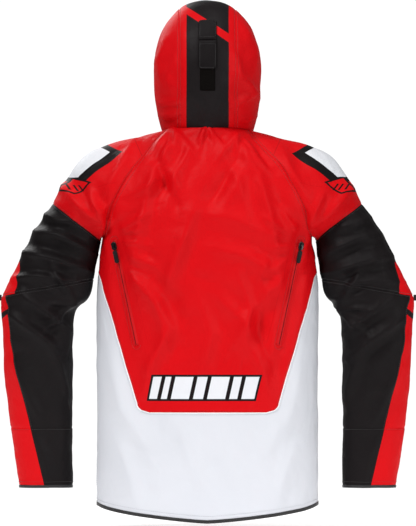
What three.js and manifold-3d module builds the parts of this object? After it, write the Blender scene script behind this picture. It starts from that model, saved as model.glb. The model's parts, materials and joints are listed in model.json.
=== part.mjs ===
// A hooded waterproof shell jacket, hanging closed with its hood up.
//
// Units are millimetres. The front faces -Y, the back +Y, the wearer's left +X and up is +Z.
// The origin is the middle of the neck seam at the back, where the hanger loop is sewn.
//
// Every cloth piece is a thin shell. Its outer face is a set of patches on three smooth forms: the
// body, the hood and the sleeve. Neighbouring pieces take the same points along the seam they share,
// so both walls follow one line and keep one narrow gap.

import * as THREE from 'three';
import Module from 'manifold-3d';
import { mergeVertices } from 'three/addons/utils/BufferGeometryUtils.js';

const wasm = await Module();
wasm.setup();

// ---------------------------------------------------------------- driving dimensions

const wall = 2.0;                 // shell, membrane and lining together
const seamGap = 0.95;             // between two cloth pieces
const fitGap = 0.35;              // between a fitting and what it sits on

const bodyHalf = 221;             // half the width of the body, lying flat
const backLength = 782;           // neck seam to hem, down the middle of the back
const sideLength = 748;           // the same level difference at the side seam
const frontLength = 733;          // and at the front zip
const backHemOut = 30;            // how far back the hem and the shoulder blades reach
const bladeOut = 45;
const waistOut = 27;
const bodySquareness = 2.5;       // 2 is an ellipse, more is boxier

const neckHalf = 88;              // neck seam: half width
const neckDepth = 199;            // back to front
const frontHemOut = 228;          // front zip at the hem, ahead of the origin
const armholeDrop = 216;          // neck seam down to the underarm
const raglanTop = 80;             // where the raglan seam leaves the neck seam
const footInset = 8;              // raglan seam's foot, in from the side

const blockTop = 288;             // colour block: where it meets the side seam
const blockKnee = 548;            // where its slanted edge ends
const blockBottom = 568;
const blockHalf = 142;            // half width at the knee
const hemBindingHeight = 6;
const bindingThick = 2.8;

const hoodHeight = 253;
const hoodHalf = 107;
const hoodBackOut = 44;
const hoodBrow = 115;             // level where the rounded top of the hood begins
const collarHeight = 75;          // front collar, up to the chin
const hoodSquareness = 2.2;
const hoodStripHalf = 57;         // centre panel of the hood
const faceBindingWidth = 6;
const neckFrontDrop = 66;         // how much lower the neck seam is at the front

const cuffDrop = 716;             // neck seam down to the end of the sleeve
const sleeveSquareness = 2.2;
const cuffBindingHeight = 5;

const tabHalf = 17.5;             // hood tab: half width
const tabThick = 2.4;
const tabTop = 212;               // upper end of the sewn part
const tabHinge = 172;             // stitch line where the free part begins
const padBottom = 72;

const zipWidth = 14;              // welded zips of the vents and pockets
const zipThick = 4;
const ventTop = [186, 226];       // out from the middle, down from the neck
const ventBottom = [142, 432];
const pocketTop = [164, 372];
const pocketBottom = [122, 536];
const sliderLong = 17;
const sliderWide = 11;
const sliderThick = 5;
const pullLong = 26;
const pullWide = 9;
const pullThick = 2.4;
const pocketBagWide = 120;
const pocketBagBelow = 70;
const bagThick = 2;
const bagGap = 2.2;               // leaves room for the back of the zip

const frontZipHalf = 8;           // half width of the front zip, both tapes
const frontTapeThick = 2.6;
const flapHalf = 15;              // storm flap behind the front zip
const flapThick = 1.6;
const frontBoxLong = 12;

const loopHalf = 30;              // hanger loop
const loopReach = 13;
const loopTall = 7;
const loopThick = 1.6;
const facingHeight = 28;
const facingThick = 1.2;

// ---------------------------------------------------------------- colours

const cloth = (color, name) => {
  const material = new THREE.MeshStandardMaterial({ color, roughness: 0.75, metalness: 0 });
  material.name = name;
  return material;
};
const red = cloth('#d3141f', 'red_shell');
const black = cloth('#211e1f', 'black_shell');
const white = cloth('#d7dade', 'white_shell');
const trim = cloth('#161616', 'black_trim');
const lining = cloth('#2b2c2f', 'lining');
const pad = cloth('#191919', 'loop_pad');
const zipMaterial = new THREE.MeshStandardMaterial({ color: '#1a1a1b', roughness: 0.5 });
zipMaterial.name = 'zip';
const metal = new THREE.MeshStandardMaterial({ color: '#26272a', roughness: 0.4, metalness: 0.6 });
metal.name = 'slider_metal';
const rubber = new THREE.MeshStandardMaterial({ color: '#1b1b1c', roughness: 0.8 });
rubber.name = 'pull_rubber';

// ---------------------------------------------------------------- small mathematics

const quarter = Math.PI / 2;
const lerp = (a, b, u) => a + (b - a) * u;
const range = (count) => [...Array(count).keys()];
const power = (value, exponent) => Math.sign(value) * Math.abs(value) ** exponent;

// A smooth curve through [place, value] pairs, its places rising.
function through(pairs) {
  const slopes = pairs.map((pair, i) => {
    const before = pairs[Math.max(i - 1, 0)];
    const after = pairs[Math.min(i + 1, pairs.length - 1)];
    return (after[1] - before[1]) / (after[0] - before[0]);
  });
  return (place) => {
    let i = 0;
    while (i < pairs.length - 2 && place > pairs[i + 1][0]) i += 1;
    const [x0, y0] = pairs[i];
    const [x1, y1] = pairs[i + 1];
    const u = Math.min(Math.max((place - x0) / (x1 - x0), 0), 1);
    const [m0, m1] = [slopes[i] * (x1 - x0), slopes[i + 1] * (x1 - x0)];
    const bend = (2 * y0 + m0 - 2 * y1 + m1) * u ** 3 + (3 * y1 - 3 * y0 - 2 * m0 - m1) * u ** 2;
    return y0 + m0 * u + bend;
  };
}

// ---------------------------------------------------------------- the body form

// The front runs straight from hem to chin, so that the front zip is straight.
const frontSlope = (frontHemOut - neckDepth) / (frontLength - neckFrontDrop);
const frontY = (drop) => -neckDepth - (drop - neckFrontDrop) * frontSlope;

const backY = through([
  [0, 0],
  [0.28 * armholeDrop, 0.5 * bladeOut],
  [0.7 * armholeDrop, 0.93 * bladeOut],
  [1.16 * armholeDrop, bladeOut],
  [0.5 * backLength, lerp(bladeOut, waistOut, 0.7)],
  [0.7 * backLength, waistOut],
  [backLength, backHemOut],
]);

// Half width at each level. Above the underarm it is the width the body would have if the
// shoulder went on, so that the panels run smoothly into the shoulders.
const halfWidth = through([
  [0, neckHalf + 2],
  [0.09 * armholeDrop, neckHalf + 37],
  [0.23 * armholeDrop, 0.79 * bodyHalf],
  [0.37 * armholeDrop, 0.97 * bodyHalf],
  [0.51 * armholeDrop, 1.085 * bodyHalf],
  [0.68 * armholeDrop, 1.115 * bodyHalf],
  [0.83 * armholeDrop, 1.05 * bodyHalf],
  [armholeDrop, bodyHalf - 9],
  [armholeDrop + 34, bodyHalf - 6],
  [armholeDrop + 62, bodyHalf - 3],
  [armholeDrop + 90, bodyHalf - 1],
  [armholeDrop + 130, bodyHalf],
  [backLength, bodyHalf],
]);

// side is +1 for the back and -1 for the front
function bodyY(x, drop, side) {
  const middle = (backY(drop) + frontY(drop)) / 2;
  const depth = (backY(drop) - frontY(drop)) / 2;
  const share = Math.min(Math.abs(x) / halfWidth(drop), 1);
  return middle + side * depth * (1 - share ** bodySquareness) ** (1 / bodySquareness);
}

// turn is 0 at the middle of the back, a quarter turn at the wearer's left, half at the front
function body(turn, drop) {
  const middle = (backY(drop) + frontY(drop)) / 2;
  const depth = (backY(drop) - frontY(drop)) / 2;
  const x = halfWidth(drop) * power(Math.sin(turn), 2 / bodySquareness);
  const y = middle + depth * power(Math.cos(turn), 2 / bodySquareness);
  return new THREE.Vector3(x, y, -drop);
}

const bodyTurn = (x, drop) => Math.asin(Math.min(x / halfWidth(drop), 1) ** (bodySquareness / 2));

// ---------------------------------------------------------------- the hood form

const hoodMiddleY = (hoodBackOut - neckDepth) / 2;
const hoodDepth = (hoodBackOut + neckDepth) / 2;
const hoodTop = hoodHeight + 5;
const hoodRise = hoodTop - hoodBrow;
const hoodBackY = through([
  [0, 0],
  [0.3 * hoodBrow, 0.5 * hoodBackOut],
  [0.65 * hoodBrow, 0.88 * hoodBackOut],
  [hoodBrow, hoodBackOut],
]);
const hoodWidth = through([
  [0, neckHalf],
  [0.3 * hoodBrow, lerp(neckHalf, hoodHalf, 0.55)],
  [0.65 * hoodBrow, lerp(neckHalf, hoodHalf, 0.9)],
  [hoodBrow, hoodHalf],
]);
const hoodFrontDrop = through([
  [0, neckFrontDrop],
  [collarHeight, neckFrontDrop],
  [hoodTop, 0.6 * neckFrontDrop],
]);

// The neck seam and all levels above it hang lower towards the front.
function hoodZ(level, y) {
  const forward = Math.max(hoodBackOut - y, 0) / (hoodBackOut + neckDepth);
  return level - hoodFrontDrop(level) * forward ** 3;
}

function hoodRing(level) {
  if (level > hoodBrow) {
    const up = Math.min((level - hoodBrow) / hoodRise, 1);
    const shrink = (1 - up ** hoodSquareness) ** (1 / hoodSquareness);
    return { half: hoodHalf * shrink, middle: hoodMiddleY, depth: hoodDepth * shrink };
  }
  const back = hoodBackY(level);
  return { half: hoodWidth(level), middle: (back - neckDepth) / 2, depth: (back + neckDepth) / 2 };
}

function hood(turn, level) {
  const ring = hoodRing(level);
  const x = ring.half * power(Math.sin(turn), 2 / hoodSquareness);
  const y = ring.middle + ring.depth * power(Math.cos(turn), 2 / hoodSquareness);
  return new THREE.Vector3(x, y, hoodZ(level, y));
}

const hoodTurn = (x, level) => Math.asin(Math.min(x / hoodRing(level).half, 1) ** (hoodSquareness / 2));

// Over the top, the lines x = constant are arcs: climb is 0 at the brow level behind, half a
// turn at the brow level in front.
function crown(x, climb) {
  const share = (1 - (Math.abs(x) / hoodHalf) ** hoodSquareness) ** (1 / hoodSquareness);
  const y = hoodMiddleY + hoodDepth * share * power(Math.cos(climb), 2 / hoodSquareness);
  const level = hoodBrow + hoodRise * share * Math.sin(climb) ** (2 / hoodSquareness);
  return new THREE.Vector3(x, y, hoodZ(level, y));
}

// level of the crown above the brow, as a climb on the middle line
const climbTo = (level) => Math.asin(((level - hoodBrow) / hoodRise) ** (hoodSquareness / 2));

// ---------------------------------------------------------------- the sleeve form

// Loops down the left sleeve: how far the outer and inner edges are on their way to the cuff,
// how far they stand out from the side of the body, the loop's middle in Y and its half depth.
const sleeveLoops = [
  { out: 0.000, in: 0.000, outX: 89, inX: -7, y: -88, deep: 72 },
  { out: 0.110, in: 0.049, outX: 130, inX: -3, y: -88, deep: 70 },
  { out: 0.234, in: 0.106, outX: 164, inX: 2, y: -87, deep: 66 },
  { out: 0.326, in: 0.157, outX: 189, inX: 6, y: -86, deep: 62 },
  { out: 0.379, in: 0.225, outX: 191, inX: 15, y: -87, deep: 60 },
  { out: 0.440, in: 0.298, outX: 190, inX: 43, y: -90, deep: 58 },
  { out: 0.511, in: 0.416, outX: 188, inX: 48, y: -95, deep: 56 },
  { out: 0.645, in: 0.592, outX: 184, inX: 49, y: -108, deep: 50 },
  { out: 0.794, in: 0.763, outX: 174, inX: 50, y: -120, deep: 44 },
  { out: 1.000, in: 1.000, outX: 157, inX: 50, y: -134, deep: 40 },
];
const elbowLoop = 3;
const elbowEnd = 6;
const cuffLoop = 8;
const lastLoop = sleeveLoops.length - 1;
const outerStart = 0.7 * armholeDrop;
const innerStart = armholeDrop + 10;
const loopValue = (pick) => through(sleeveLoops.map((loop, i) => [i, pick(loop)]));
const outerX = loopValue((loop) => bodyHalf + loop.outX);
const innerX = loopValue((loop) => bodyHalf + loop.inX);
const outerZ = loopValue((loop) => -lerp(outerStart, cuffDrop, loop.out));
const innerZ = loopValue((loop) => -lerp(innerStart, cuffDrop, loop.in));
const sleeveY = loopValue((loop) => loop.y);
const sleeveDeep = loopValue((loop) => loop.deep);

const sleeveMiddle = (along) => new THREE.Vector3(
  (outerX(along) + innerX(along)) / 2, sleeveY(along), (outerZ(along) + innerZ(along)) / 2);

// turn is 0 on the inner edge, a quarter behind, half on the outer edge, three quarters in front
function sleeve(turn, along) {
  const across = new THREE.Vector3(
    (outerX(along) - innerX(along)) / 2, 0, (outerZ(along) - innerZ(along)) / 2);
  const point = sleeveMiddle(along);
  point.addScaledVector(across, -power(Math.cos(turn), 2 / sleeveSquareness));
  point.y += sleeveDeep(along) * power(Math.sin(turn), 2 / sleeveSquareness);
  return point;
}

// ---------------------------------------------------------------- cloth shells

const keyOf = (p) => `${Math.round(p.x * 50)},${Math.round(p.y * 50)},${Math.round(p.z * 50)}`;
const outwardAt = new Map();      // summed outward normals, shared by pieces that share a seam
const clothPieces = [];

const bodyCore = (p) => new THREE.Vector3(0, hoodMiddleY, p.z);
const hoodCore = (p) => new THREE.Vector3(0, hoodMiddleY, Math.min(p.z, 0.4 * hoodHeight));

// patches are grids of points, rows of equal length, that meet point on point. All faces of a
// piece turn the same way, outward on the whole, so that its shell always closes.
function addCloth(name, material, patches, core, thick = wall, lift = 0) {
  const points = [];
  const indexOf = new Map();
  const index = (p) => {
    const key = keyOf(p);
    if (!indexOf.has(key)) {
      indexOf.set(key, points.length);
      points.push(p.clone());
    }
    return indexOf.get(key);
  };
  const faces = [];
  const area = (a, b, c) => new THREE.Triangle(points[a], points[b], points[c]).getArea();
  const faceNormal = (a, b, c) => {
    const normal = new THREE.Vector3().subVectors(points[b], points[a]);
    return normal.cross(new THREE.Vector3().subVectors(points[c], points[a]));
  };
  let outward = 0;
  const addFace = (a, b, c) => {
    if (a === b || b === c || c === a) return;
    faces.push([a, b, c]);
    const centre = points[a].clone().add(points[b]).add(points[c]).divideScalar(3);
    outward += faceNormal(a, b, c).dot(centre.sub(core(centre)));
  };
  for (const rows of patches) {
    for (const i of range(rows.length - 1)) {
      for (const j of range(rows[i].length - 1)) {
        const [a, b] = [index(rows[i][j]), index(rows[i][j + 1])];
        const [c, d] = [index(rows[i + 1][j + 1]), index(rows[i + 1][j])];
        const oneWay = Math.min(area(a, b, c), area(a, c, d));
        const otherWay = Math.min(area(a, b, d), area(b, c, d));
        const halves = oneWay >= otherWay ? [[a, b, c], [a, c, d]] : [[a, b, d], [b, c, d]];
        for (const half of halves) addFace(...half);
      }
    }
  }
  if (outward < 0) for (const face of faces) face.reverse();
  for (const face of faces) {
    const normal = faceNormal(...face);
    for (const corner of face) {
      const key = keyOf(points[corner]) + (lift ? name : '');
      if (!outwardAt.has(key)) outwardAt.set(key, new THREE.Vector3());
      outwardAt.get(key).add(normal);
    }
  }
  clothPieces.push({ name, material, points, faces, thick, lift });
}

const meshes = [];

function addMesh(name, geometry, material) {
  const mesh = new THREE.Mesh(geometry, material);
  mesh.name = name;
  meshes.push(mesh);
  return mesh;
}

function geometryOf(positions, triangles) {
  const geometry = new THREE.BufferGeometry();
  geometry.setAttribute('position', new THREE.Float32BufferAttribute(positions, 3));
  geometry.setIndex(triangles);
  return geometry;
}

function toSolid(geometry) {
  const plain = new THREE.BufferGeometry();
  plain.setAttribute('position', geometry.getAttribute('position').clone());
  if (geometry.index) plain.setIndex(geometry.index.clone());
  const merged = mergeVertices(plain, 1e-4);
  return new wasm.Manifold(new wasm.Mesh({
    numProp: 3,
    vertProperties: new Float32Array(merged.getAttribute('position').array),
    triVerts: new Uint32Array(merged.index.array),
  }));
}

function fromSolid(solid) {
  const mesh = solid.getMesh();
  return geometryOf([...mesh.vertProperties], [...mesh.triVerts]);
}

// Gives a piece its wall: outer face drawn back from its edges by half a seam gap, inner face
// one wall further in, and a rim.
function shellGeometry(piece) {
  const { points, faces, thick, lift } = piece;
  const normals = points.map((p) => outwardAt.get(keyOf(p) + (lift ? piece.name : '')).clone().normalize());
  const used = new Map();
  for (const face of faces) {
    for (const k of range(3)) {
      const [a, b] = [face[k], face[(k + 1) % 3]];
      used.set(`${a}_${b}`, [a, b]);
    }
  }
  const rim = [...used.values()].filter(([a, b]) => !used.has(`${b}_${a}`));
  const inward = new Map();
  for (const [a, b] of rim) {
    const along = new THREE.Vector3().subVectors(points[b], points[a]);
    for (const corner of [a, b]) {
      const across = new THREE.Vector3().crossVectors(normals[corner], along).normalize();
      if (!inward.has(corner)) inward.set(corner, []);
      inward.get(corner).push(across);
    }
  }
  const outer = points.map((p, i) => {
    const moved = p.clone().addScaledVector(normals[i], lift);
    const sides = inward.get(i);
    if (!sides) return moved;
    const sum = new THREE.Vector3();
    for (const side of sides) sum.add(side);
    const length = Math.max(sum.length(), 0.6);
    return moved.addScaledVector(sum.normalize(), seamGap / 2 * (sides.length / length));
  });
  const inner = outer.map((p, i) => p.clone().addScaledVector(normals[i], -thick));
  const triangles = [];
  for (const [a, b, c] of faces) {
    triangles.push(a, b, c, a + points.length, c + points.length, b + points.length);
  }
  for (const [a, b] of rim) {
    triangles.push(b, a, a + points.length, b, a + points.length, b + points.length);
  }
  return geometryOf([...outer, ...inner].flatMap((p) => [p.x, p.y, p.z]), triangles);
}

const mirror = (p) => new THREE.Vector3(-p.x, p.y, p.z);
const mirrorRows = (rows) => rows.map((row) => row.map(mirror));

// Adds a piece for the left side and its mirror image for the right.
function addPair(name, material, patches, core, thick = wall, lift = 0) {
  addCloth(`left_${name}`, material, patches, core, thick, lift);
  const otherCore = (p) => mirror(core(mirror(p)));
  addCloth(`right_${name}`, material, patches.map(mirrorRows), otherCore, thick, lift);
}

// ---------------------------------------------------------------- body panels

const bodyColumns = 12;           // across the back between the raglan seams
const seamSteps = 7;              // along each raglan seam

// The colour block's edge, from its flat bottom up to the side seam.
const kneeSlope = (bodyHalf - 4 - blockHalf) / (blockKnee - blockTop - 6);
const blockEdge = (drop) => blockHalf + (blockKnee - drop) * kneeSlope;
const cornerWide = 25;
const blockRows = [
  { drop: blockBottom, half: blockHalf - cornerWide },
  { drop: blockBottom - 0.28 * (blockBottom - blockKnee), half: blockHalf - 0.42 * cornerWide },
  { drop: blockKnee, half: blockHalf },
  ...[0.2, 0.4, 0.6, 0.8].map((u) => {
    const drop = lerp(blockKnee, blockTop, u);
    return { drop, half: blockEdge(drop) };
  }),
].map(({ drop, half }) => ({ drop, turn: bodyTurn(half, drop) }));
blockRows.push({ drop: blockTop, turn: quarter });
const sideRows = [lerp(blockTop, armholeDrop, 0.5), armholeDrop].map((drop) => ({ drop, turn: quarter }));

const footX = halfWidth(armholeDrop) - footInset;
const footTurn = bodyTurn(footX, armholeDrop);
const footShares = [footTurn / quarter, (footTurn / quarter + 1) / 2, 1];

// How wide the body panels are between the raglan seams, from the underarm up to the neck.
const raglanX = through([
  [0, footX],
  [0.16, lerp(raglanTop, footX, 0.965)],
  [0.34, lerp(raglanTop, footX, 0.85)],
  [0.65, lerp(raglanTop, footX, 0.545)],
  [0.91, lerp(raglanTop, footX, 0.165)],
  [1, raglanTop],
]);

// A point of the body panel above the underarm. across runs from -1 to 1 between the raglan
// seams, up from 0 at the underarm to 1 at the neck seam, side is +1 behind and -1 in front.
function yoke(across, up, side) {
  const x = across * raglanX(up);
  const neckX = across * raglanTop;
  const turn = hoodTurn(Math.abs(neckX), 0);
  const neck = hood(side > 0 ? turn : Math.PI - turn, 0);
  const drop = armholeDrop - up * (armholeDrop + neck.z);
  const free = bodyY(x, drop, side);
  const atNeck = bodyY(neckX, -neck.z, side);
  const near = Math.max((up - 0.55) / 0.45, 0) ** 2;
  return new THREE.Vector3(x, free + near * (neck.y - atNeck), -drop);
}

const middleShares = range(bodyColumns + 1).map((j) => 2 * j / bodyColumns - 1);
const backShares = [
  ...footShares.slice(1).reverse().map((share) => -share),
  ...middleShares.map((share) => share * footShares[0]),
  ...footShares.slice(1),
];
const yokeUps = range(seamSteps + 1).map((i) => i / seamSteps);

// On the lowest yoke row the columns follow the body's own turns, higher up they are even in x.
function yokeAcross(share, up) {
  const x = halfWidth(armholeDrop) * power(Math.sin(Math.abs(share) * footTurn), 2 / bodySquareness);
  return Math.sign(share) * lerp(x / footX, Math.abs(share), Math.min(up * 2, 1));
}

const backLower = [...blockRows, ...sideRows].map(({ drop, turn }) => (
  backShares.map((share) => body(share * turn, drop))));
const backUpper = yokeUps.map((up) => middleShares.map((share) => yoke(yokeAcross(share, up), up, 1)));

// The hem panels run from the colour block's edge (near) to the side seam and hem (far).
const hemDrop = through([[0, backLength], [0.42 * Math.PI, sideLength + 3], [Math.PI / 2, sideLength],
  [0.75 * Math.PI, lerp(sideLength, frontLength, 0.75)], [Math.PI, frontLength]]);
const tipLong = 6;
const sideDrops = blockRows.map(({ drop }) => {
  const u = (drop - blockTop) / (blockBottom - blockTop);
  return lerp(blockTop + tipLong, sideLength, u);
}).reverse();

const hemShares = [0, 0.25, 0.5, 0.75, 1];
function hemColumn(near, far) {
  return hemShares.map((u) => {
    const drop = lerp(near.drop, far.drop, u);
    return body(lerp(near.turn, far.turn, u), drop);
  });
}
const sideNear = [...blockRows].reverse();
const leftColumns = sideNear.map((near, i) => hemColumn(near, { drop: sideDrops[i], turn: quarter }));
const bottomTurn = blockRows[0].turn;
const backColumns = backShares.map((share) => {
  const turn = share * quarter;
  return hemColumn({ drop: blockBottom, turn: share * bottomTurn }, { drop: hemDrop(Math.abs(turn)), turn });
}).reverse();
const rightColumns = leftColumns.map((column) => column.map(mirror)).reverse();

// front panels: columns from the zip out to the side
const frontColumns = 7;
const zipTurn = (drop) => bodyTurn(frontZipHalf, drop);
const frontSharesMiddle = range(frontColumns + 1).map((j) => j / frontColumns);
const frontBack = (turn, drop) => {
  const point = body(turn, drop);
  return body(Math.PI - turn, drop).setX(point.x);
};
function frontTurns(turn, drop) {
  const start = zipTurn(drop);
  const foot = turn * footShares[0];
  return [
    ...frontSharesMiddle.map((share) => lerp(start, foot, share)),
    turn * footShares[1],
    turn,
  ];
}
const frontLower = [...blockRows, ...sideRows].map(({ drop, turn }) => (
  frontTurns(turn, drop).map((t) => frontBack(t, drop))));
const frontUpper = yokeUps.map((up) => frontSharesMiddle.map((share) => {
  const x = raglanX(up);
  const lowX = frontBack(lerp(zipTurn(armholeDrop), footTurn, share), armholeDrop).x;
  const wide = lerp(frontZipHalf, x, share);
  const at = lerp(lowX, wide, Math.min(up * 2, 1));
  return yoke(at / x, up, -1);
}));

const frontNear = frontTurns(bottomTurn, blockBottom);
const frontFar = frontTurns(quarter, frontLength);
const frontHemColumns = frontNear.map((turn, i) => {
  const far = Math.PI - frontFar[i];
  const column = hemColumn({ drop: blockBottom, turn: Math.PI - turn }, { drop: hemDrop(far), turn: far });
  return column;
}).reverse();
const frontSideColumns = sideNear.map((near, i) => (
  hemColumn({ drop: near.drop, turn: Math.PI - near.turn }, { drop: sideDrops[i], turn: quarter })));

addCloth('back_panel', red, [backLower, backUpper], bodyCore);
addCloth('back_hem_panel', white, [[...leftColumns, ...backColumns.slice(1), ...rightColumns.slice(1)]],
  bodyCore);
addPair('front_panel', red, [frontLower, frontUpper], bodyCore);
addPair('front_hem_panel', white, [[...frontSideColumns, ...frontHemColumns.slice(1)]], bodyCore);

// binding around the hem, from one side of the zip to the other
const hemEdge = [
  ...[...frontHemColumns].reverse().map((column) => column.at(-1)),
  ...backColumns.slice(1).map((column) => column.at(-1)),
  ...frontHemColumns.slice(1).map((column) => mirror(column.at(-1))),
];
const dropped = (p, by) => p.clone().setZ(p.z - by);
addCloth('hem_binding', trim, [[hemEdge, hemEdge.map((p) => dropped(p, hemBindingHeight))]], bodyCore,
  bindingThick);

// ---------------------------------------------------------------- hood panels

const degree = Math.PI / 180;
const stripColumns = [-1, -0.62, -tabHalf / hoodStripHalf, 0, tabHalf / hoodStripHalf, 0.62, 1]
  .map((share) => share * hoodStripHalf);
const stripLevels = [0, 0.33 * padBottom, 0.67 * padBottom, padBottom, lerp(padBottom, hoodBrow, 0.5), hoodBrow];
const hingeClimb = climbTo(tabHinge);
const tabClimb = climbTo(tabTop);
const lastClimb = 82 * degree;    // the rows stop short of the top, where the side panels meet
const climbs = [hingeClimb / 2, hingeClimb, lerp(hingeClimb, tabClimb, 0.5), tabClimb,
  lerp(tabClimb, lastClimb, 0.33), lerp(tabClimb, lastClimb, 0.66), lastClimb];
const frontClimbs = [...climbs].slice(4).reverse().map((climb) => Math.PI - climb);
const faceRow = stripLevels.length + 4;
const topRow = stripLevels.length + climbs.length - 1;

const stripRow = (k) => {
  const rising = [...climbs, ...frontClimbs];
  if (k < stripLevels.length) {
    const level = stripLevels[k];
    return stripColumns.map((x) => {
      const p = hood(hoodTurn(Math.abs(x), level), level);
      return p.setX(Math.sign(x) * Math.abs(p.x));
    });
  }
  return stripColumns.map((x) => crown(x, rising[k - stripLevels.length]));
};
const stripCount = stripLevels.length + climbs.length + frontClimbs.length;
const stripRows = range(stripCount).map(stripRow);
const stripEdge = stripRows.map((row) => row.at(-1));

// The edge of a side panel, given as turn and level, so that its rows can be filled in.
function stripEdgePlace(k) {
  if (k < stripLevels.length) {
    return { level: stripLevels[k], turn: hoodTurn(hoodStripHalf, stripLevels[k]) };
  }
  const climb = [...climbs, ...frontClimbs][k - stripLevels.length];
  const share = (1 - (hoodStripHalf / hoodHalf) ** hoodSquareness) ** (1 / hoodSquareness);
  const level = hoodBrow + hoodRise * share * Math.sin(climb) ** (2 / hoodSquareness);
  const turn = hoodTurn(hoodStripHalf, level);
  return { level, turn: climb < quarter ? turn : Math.PI - turn };
}

// Half the face opening, as a turn away from the front, against the level.
const faceCorner = stripEdgePlace(stripCount - 1);
const collarTurn = hoodTurn(frontZipHalf, collarHeight);
const faceTurn = through([
  [collarHeight, collarTurn],
  [lerp(collarHeight, faceCorner.level, 0.13), 34 * degree],
  [lerp(collarHeight, faceCorner.level, 0.33), 50 * degree],
  [lerp(collarHeight, faceCorner.level, 0.62), 54 * degree],
  [lerp(collarHeight, faceCorner.level, 0.86), 47 * degree],
  [faceCorner.level, Math.PI - faceCorner.turn],
]);
const faceShares = [0, 0.13, 0.33, 0.55, 0.78, 0.92, 1];
const collarRows = faceRow - (faceShares.length - 1);
function sideEnd(r) {
  if (r <= collarRows) {
    const level = collarHeight * r / collarRows;
    return { level, turn: Math.PI - hoodTurn(frontZipHalf, level) };
  }
  if (r < faceRow) {
    const level = lerp(collarHeight, faceCorner.level, faceShares[r - collarRows]);
    return { level, turn: Math.PI - faceTurn(level) };
  }
  return stripEdgePlace(2 * topRow + 1 - r);
}
const neckColumns = 9;
const backTopTurn = hoodTurn(raglanTop, 0);
const sideShares = range(neckColumns + 1).map((j) => j / neckColumns);
const sideRowsHood = range(topRow + 1).map((r) => {
  const near = stripEdgePlace(r);
  const far = sideEnd(r);
  const ends = [stripEdge[r], r < faceRow ? hood(far.turn, far.level) : stripEdge[2 * topRow + 1 - r]];
  return sideShares.map((u) => {
    if (u === 0) return ends[0].clone();
    if (u === 1) return ends[1].clone();
    if (r === topRow) return ends[0].clone().lerp(ends[1], u);
    return hood(lerp(near.turn, far.turn, u), lerp(near.level, far.level, u));
  });
});
addCloth('hood_centre_panel', black, [stripRows], hoodCore);
addPair('hood_side_panel', red, [sideRowsHood], hoodCore);

// face binding: a band that carries on past the face edge, from the zip up over the brow and down
const edgeSide = sideRowsHood.slice(collarRows, faceRow).map((row, i) => ({
  at: row.at(-1),
  from: i === 0 ? sideRowsHood[collarRows - 1].at(-1) : row.at(-2),
}));
const edgeBrow = stripRows.at(-1).map((p, j) => ({ at: p, from: stripRows.at(-2)[j] })).reverse();
const edgeOther = edgeSide.map(({ at, from }) => ({ at: mirror(at), from: mirror(from) })).reverse();
const faceEdge = [...edgeSide, ...edgeBrow, ...edgeOther];
const facePoints = faceEdge.map(({ at }) => at);
const faceFront = faceEdge.map(({ at, from }, i) => {
  const before = facePoints[Math.max(i - 1, 0)];
  const after = facePoints[Math.min(i + 1, facePoints.length - 1)];
  const along = new THREE.Vector3().subVectors(after, before).normalize();
  const way = new THREE.Vector3().subVectors(at, from);
  way.addScaledVector(along, -way.dot(along)).normalize();
  return at.clone().addScaledVector(way, faceBindingWidth);
});
addCloth('hood_face_binding', trim, [[facePoints, faceFront]], hoodCore, bindingThick);

// pieces laid on the hood's middle: a patch of the same facets, lifted clear
function onStrip(name, material, first, last, lift, thick) {
  const rows = stripRows.slice(first, last + 1).map((row) => row.slice(2, 5));
  addCloth(name, material, [rows], hoodCore, thick, lift + thick);
}
const padRow = 3;
const browRow = 5;
const hingeRow = 7;
const tabTopRow = 9;
onStrip('hood_loop_pad', pad, padRow, browRow, fitGap, 1.6);
onStrip('hood_tab', black, browRow, hingeRow, fitGap, tabThick);
onStrip('hood_tab_base', black, hingeRow, tabTopRow, fitGap, tabThick);

// inside the neck: a facing behind the seam
const facingTurns = range(13).map((j) => lerp(-95, 95, j / 12) * degree);
const facingRows = [4, 4 + facingHeight].map((level) => facingTurns.map((turn) => {
  const p = hood(Math.abs(turn), level);
  return p.setX(Math.sign(turn) * Math.abs(p.x));
}));
const facingSag = 0.01028 * hoodHalf;    // how far the flats of the facing and the hood stray apart
const facingLift = -wall - facingSag;
addCloth('neck_facing', lining, [facingRows], hoodCore, facingThick, facingLift);

// ---------------------------------------------------------------- sleeves

// Points around a sleeve: the underarm, up the back raglan seam, along the neck, down in front.
const neckSteps = 6;
const aroundCount = 2 * seamSteps + neckSteps + 4;
const armLoop = [
  body(quarter, armholeDrop),
  body(footShares[1] * quarter, armholeDrop),
  ...backUpper.map((row) => row.at(-1)),
  ...range(neckSteps - 1).map((i) => {
    const start = backTopTurn;
    return hood(lerp(start, Math.PI - start, (i + 1) / neckSteps), 0);
  }),
  ...[...frontUpper].reverse().map((row) => row.at(-1)),
  frontBack(footShares[1] * quarter, armholeDrop),
];
const sleeveTurn = (k) => 2 * Math.PI * (k % aroundCount) / aroundCount;
const sleeveRing = (along, from = 0, to = aroundCount) => (
  range(to - from + 1).map((i) => sleeve(sleeveTurn(from + i), along)));

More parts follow.
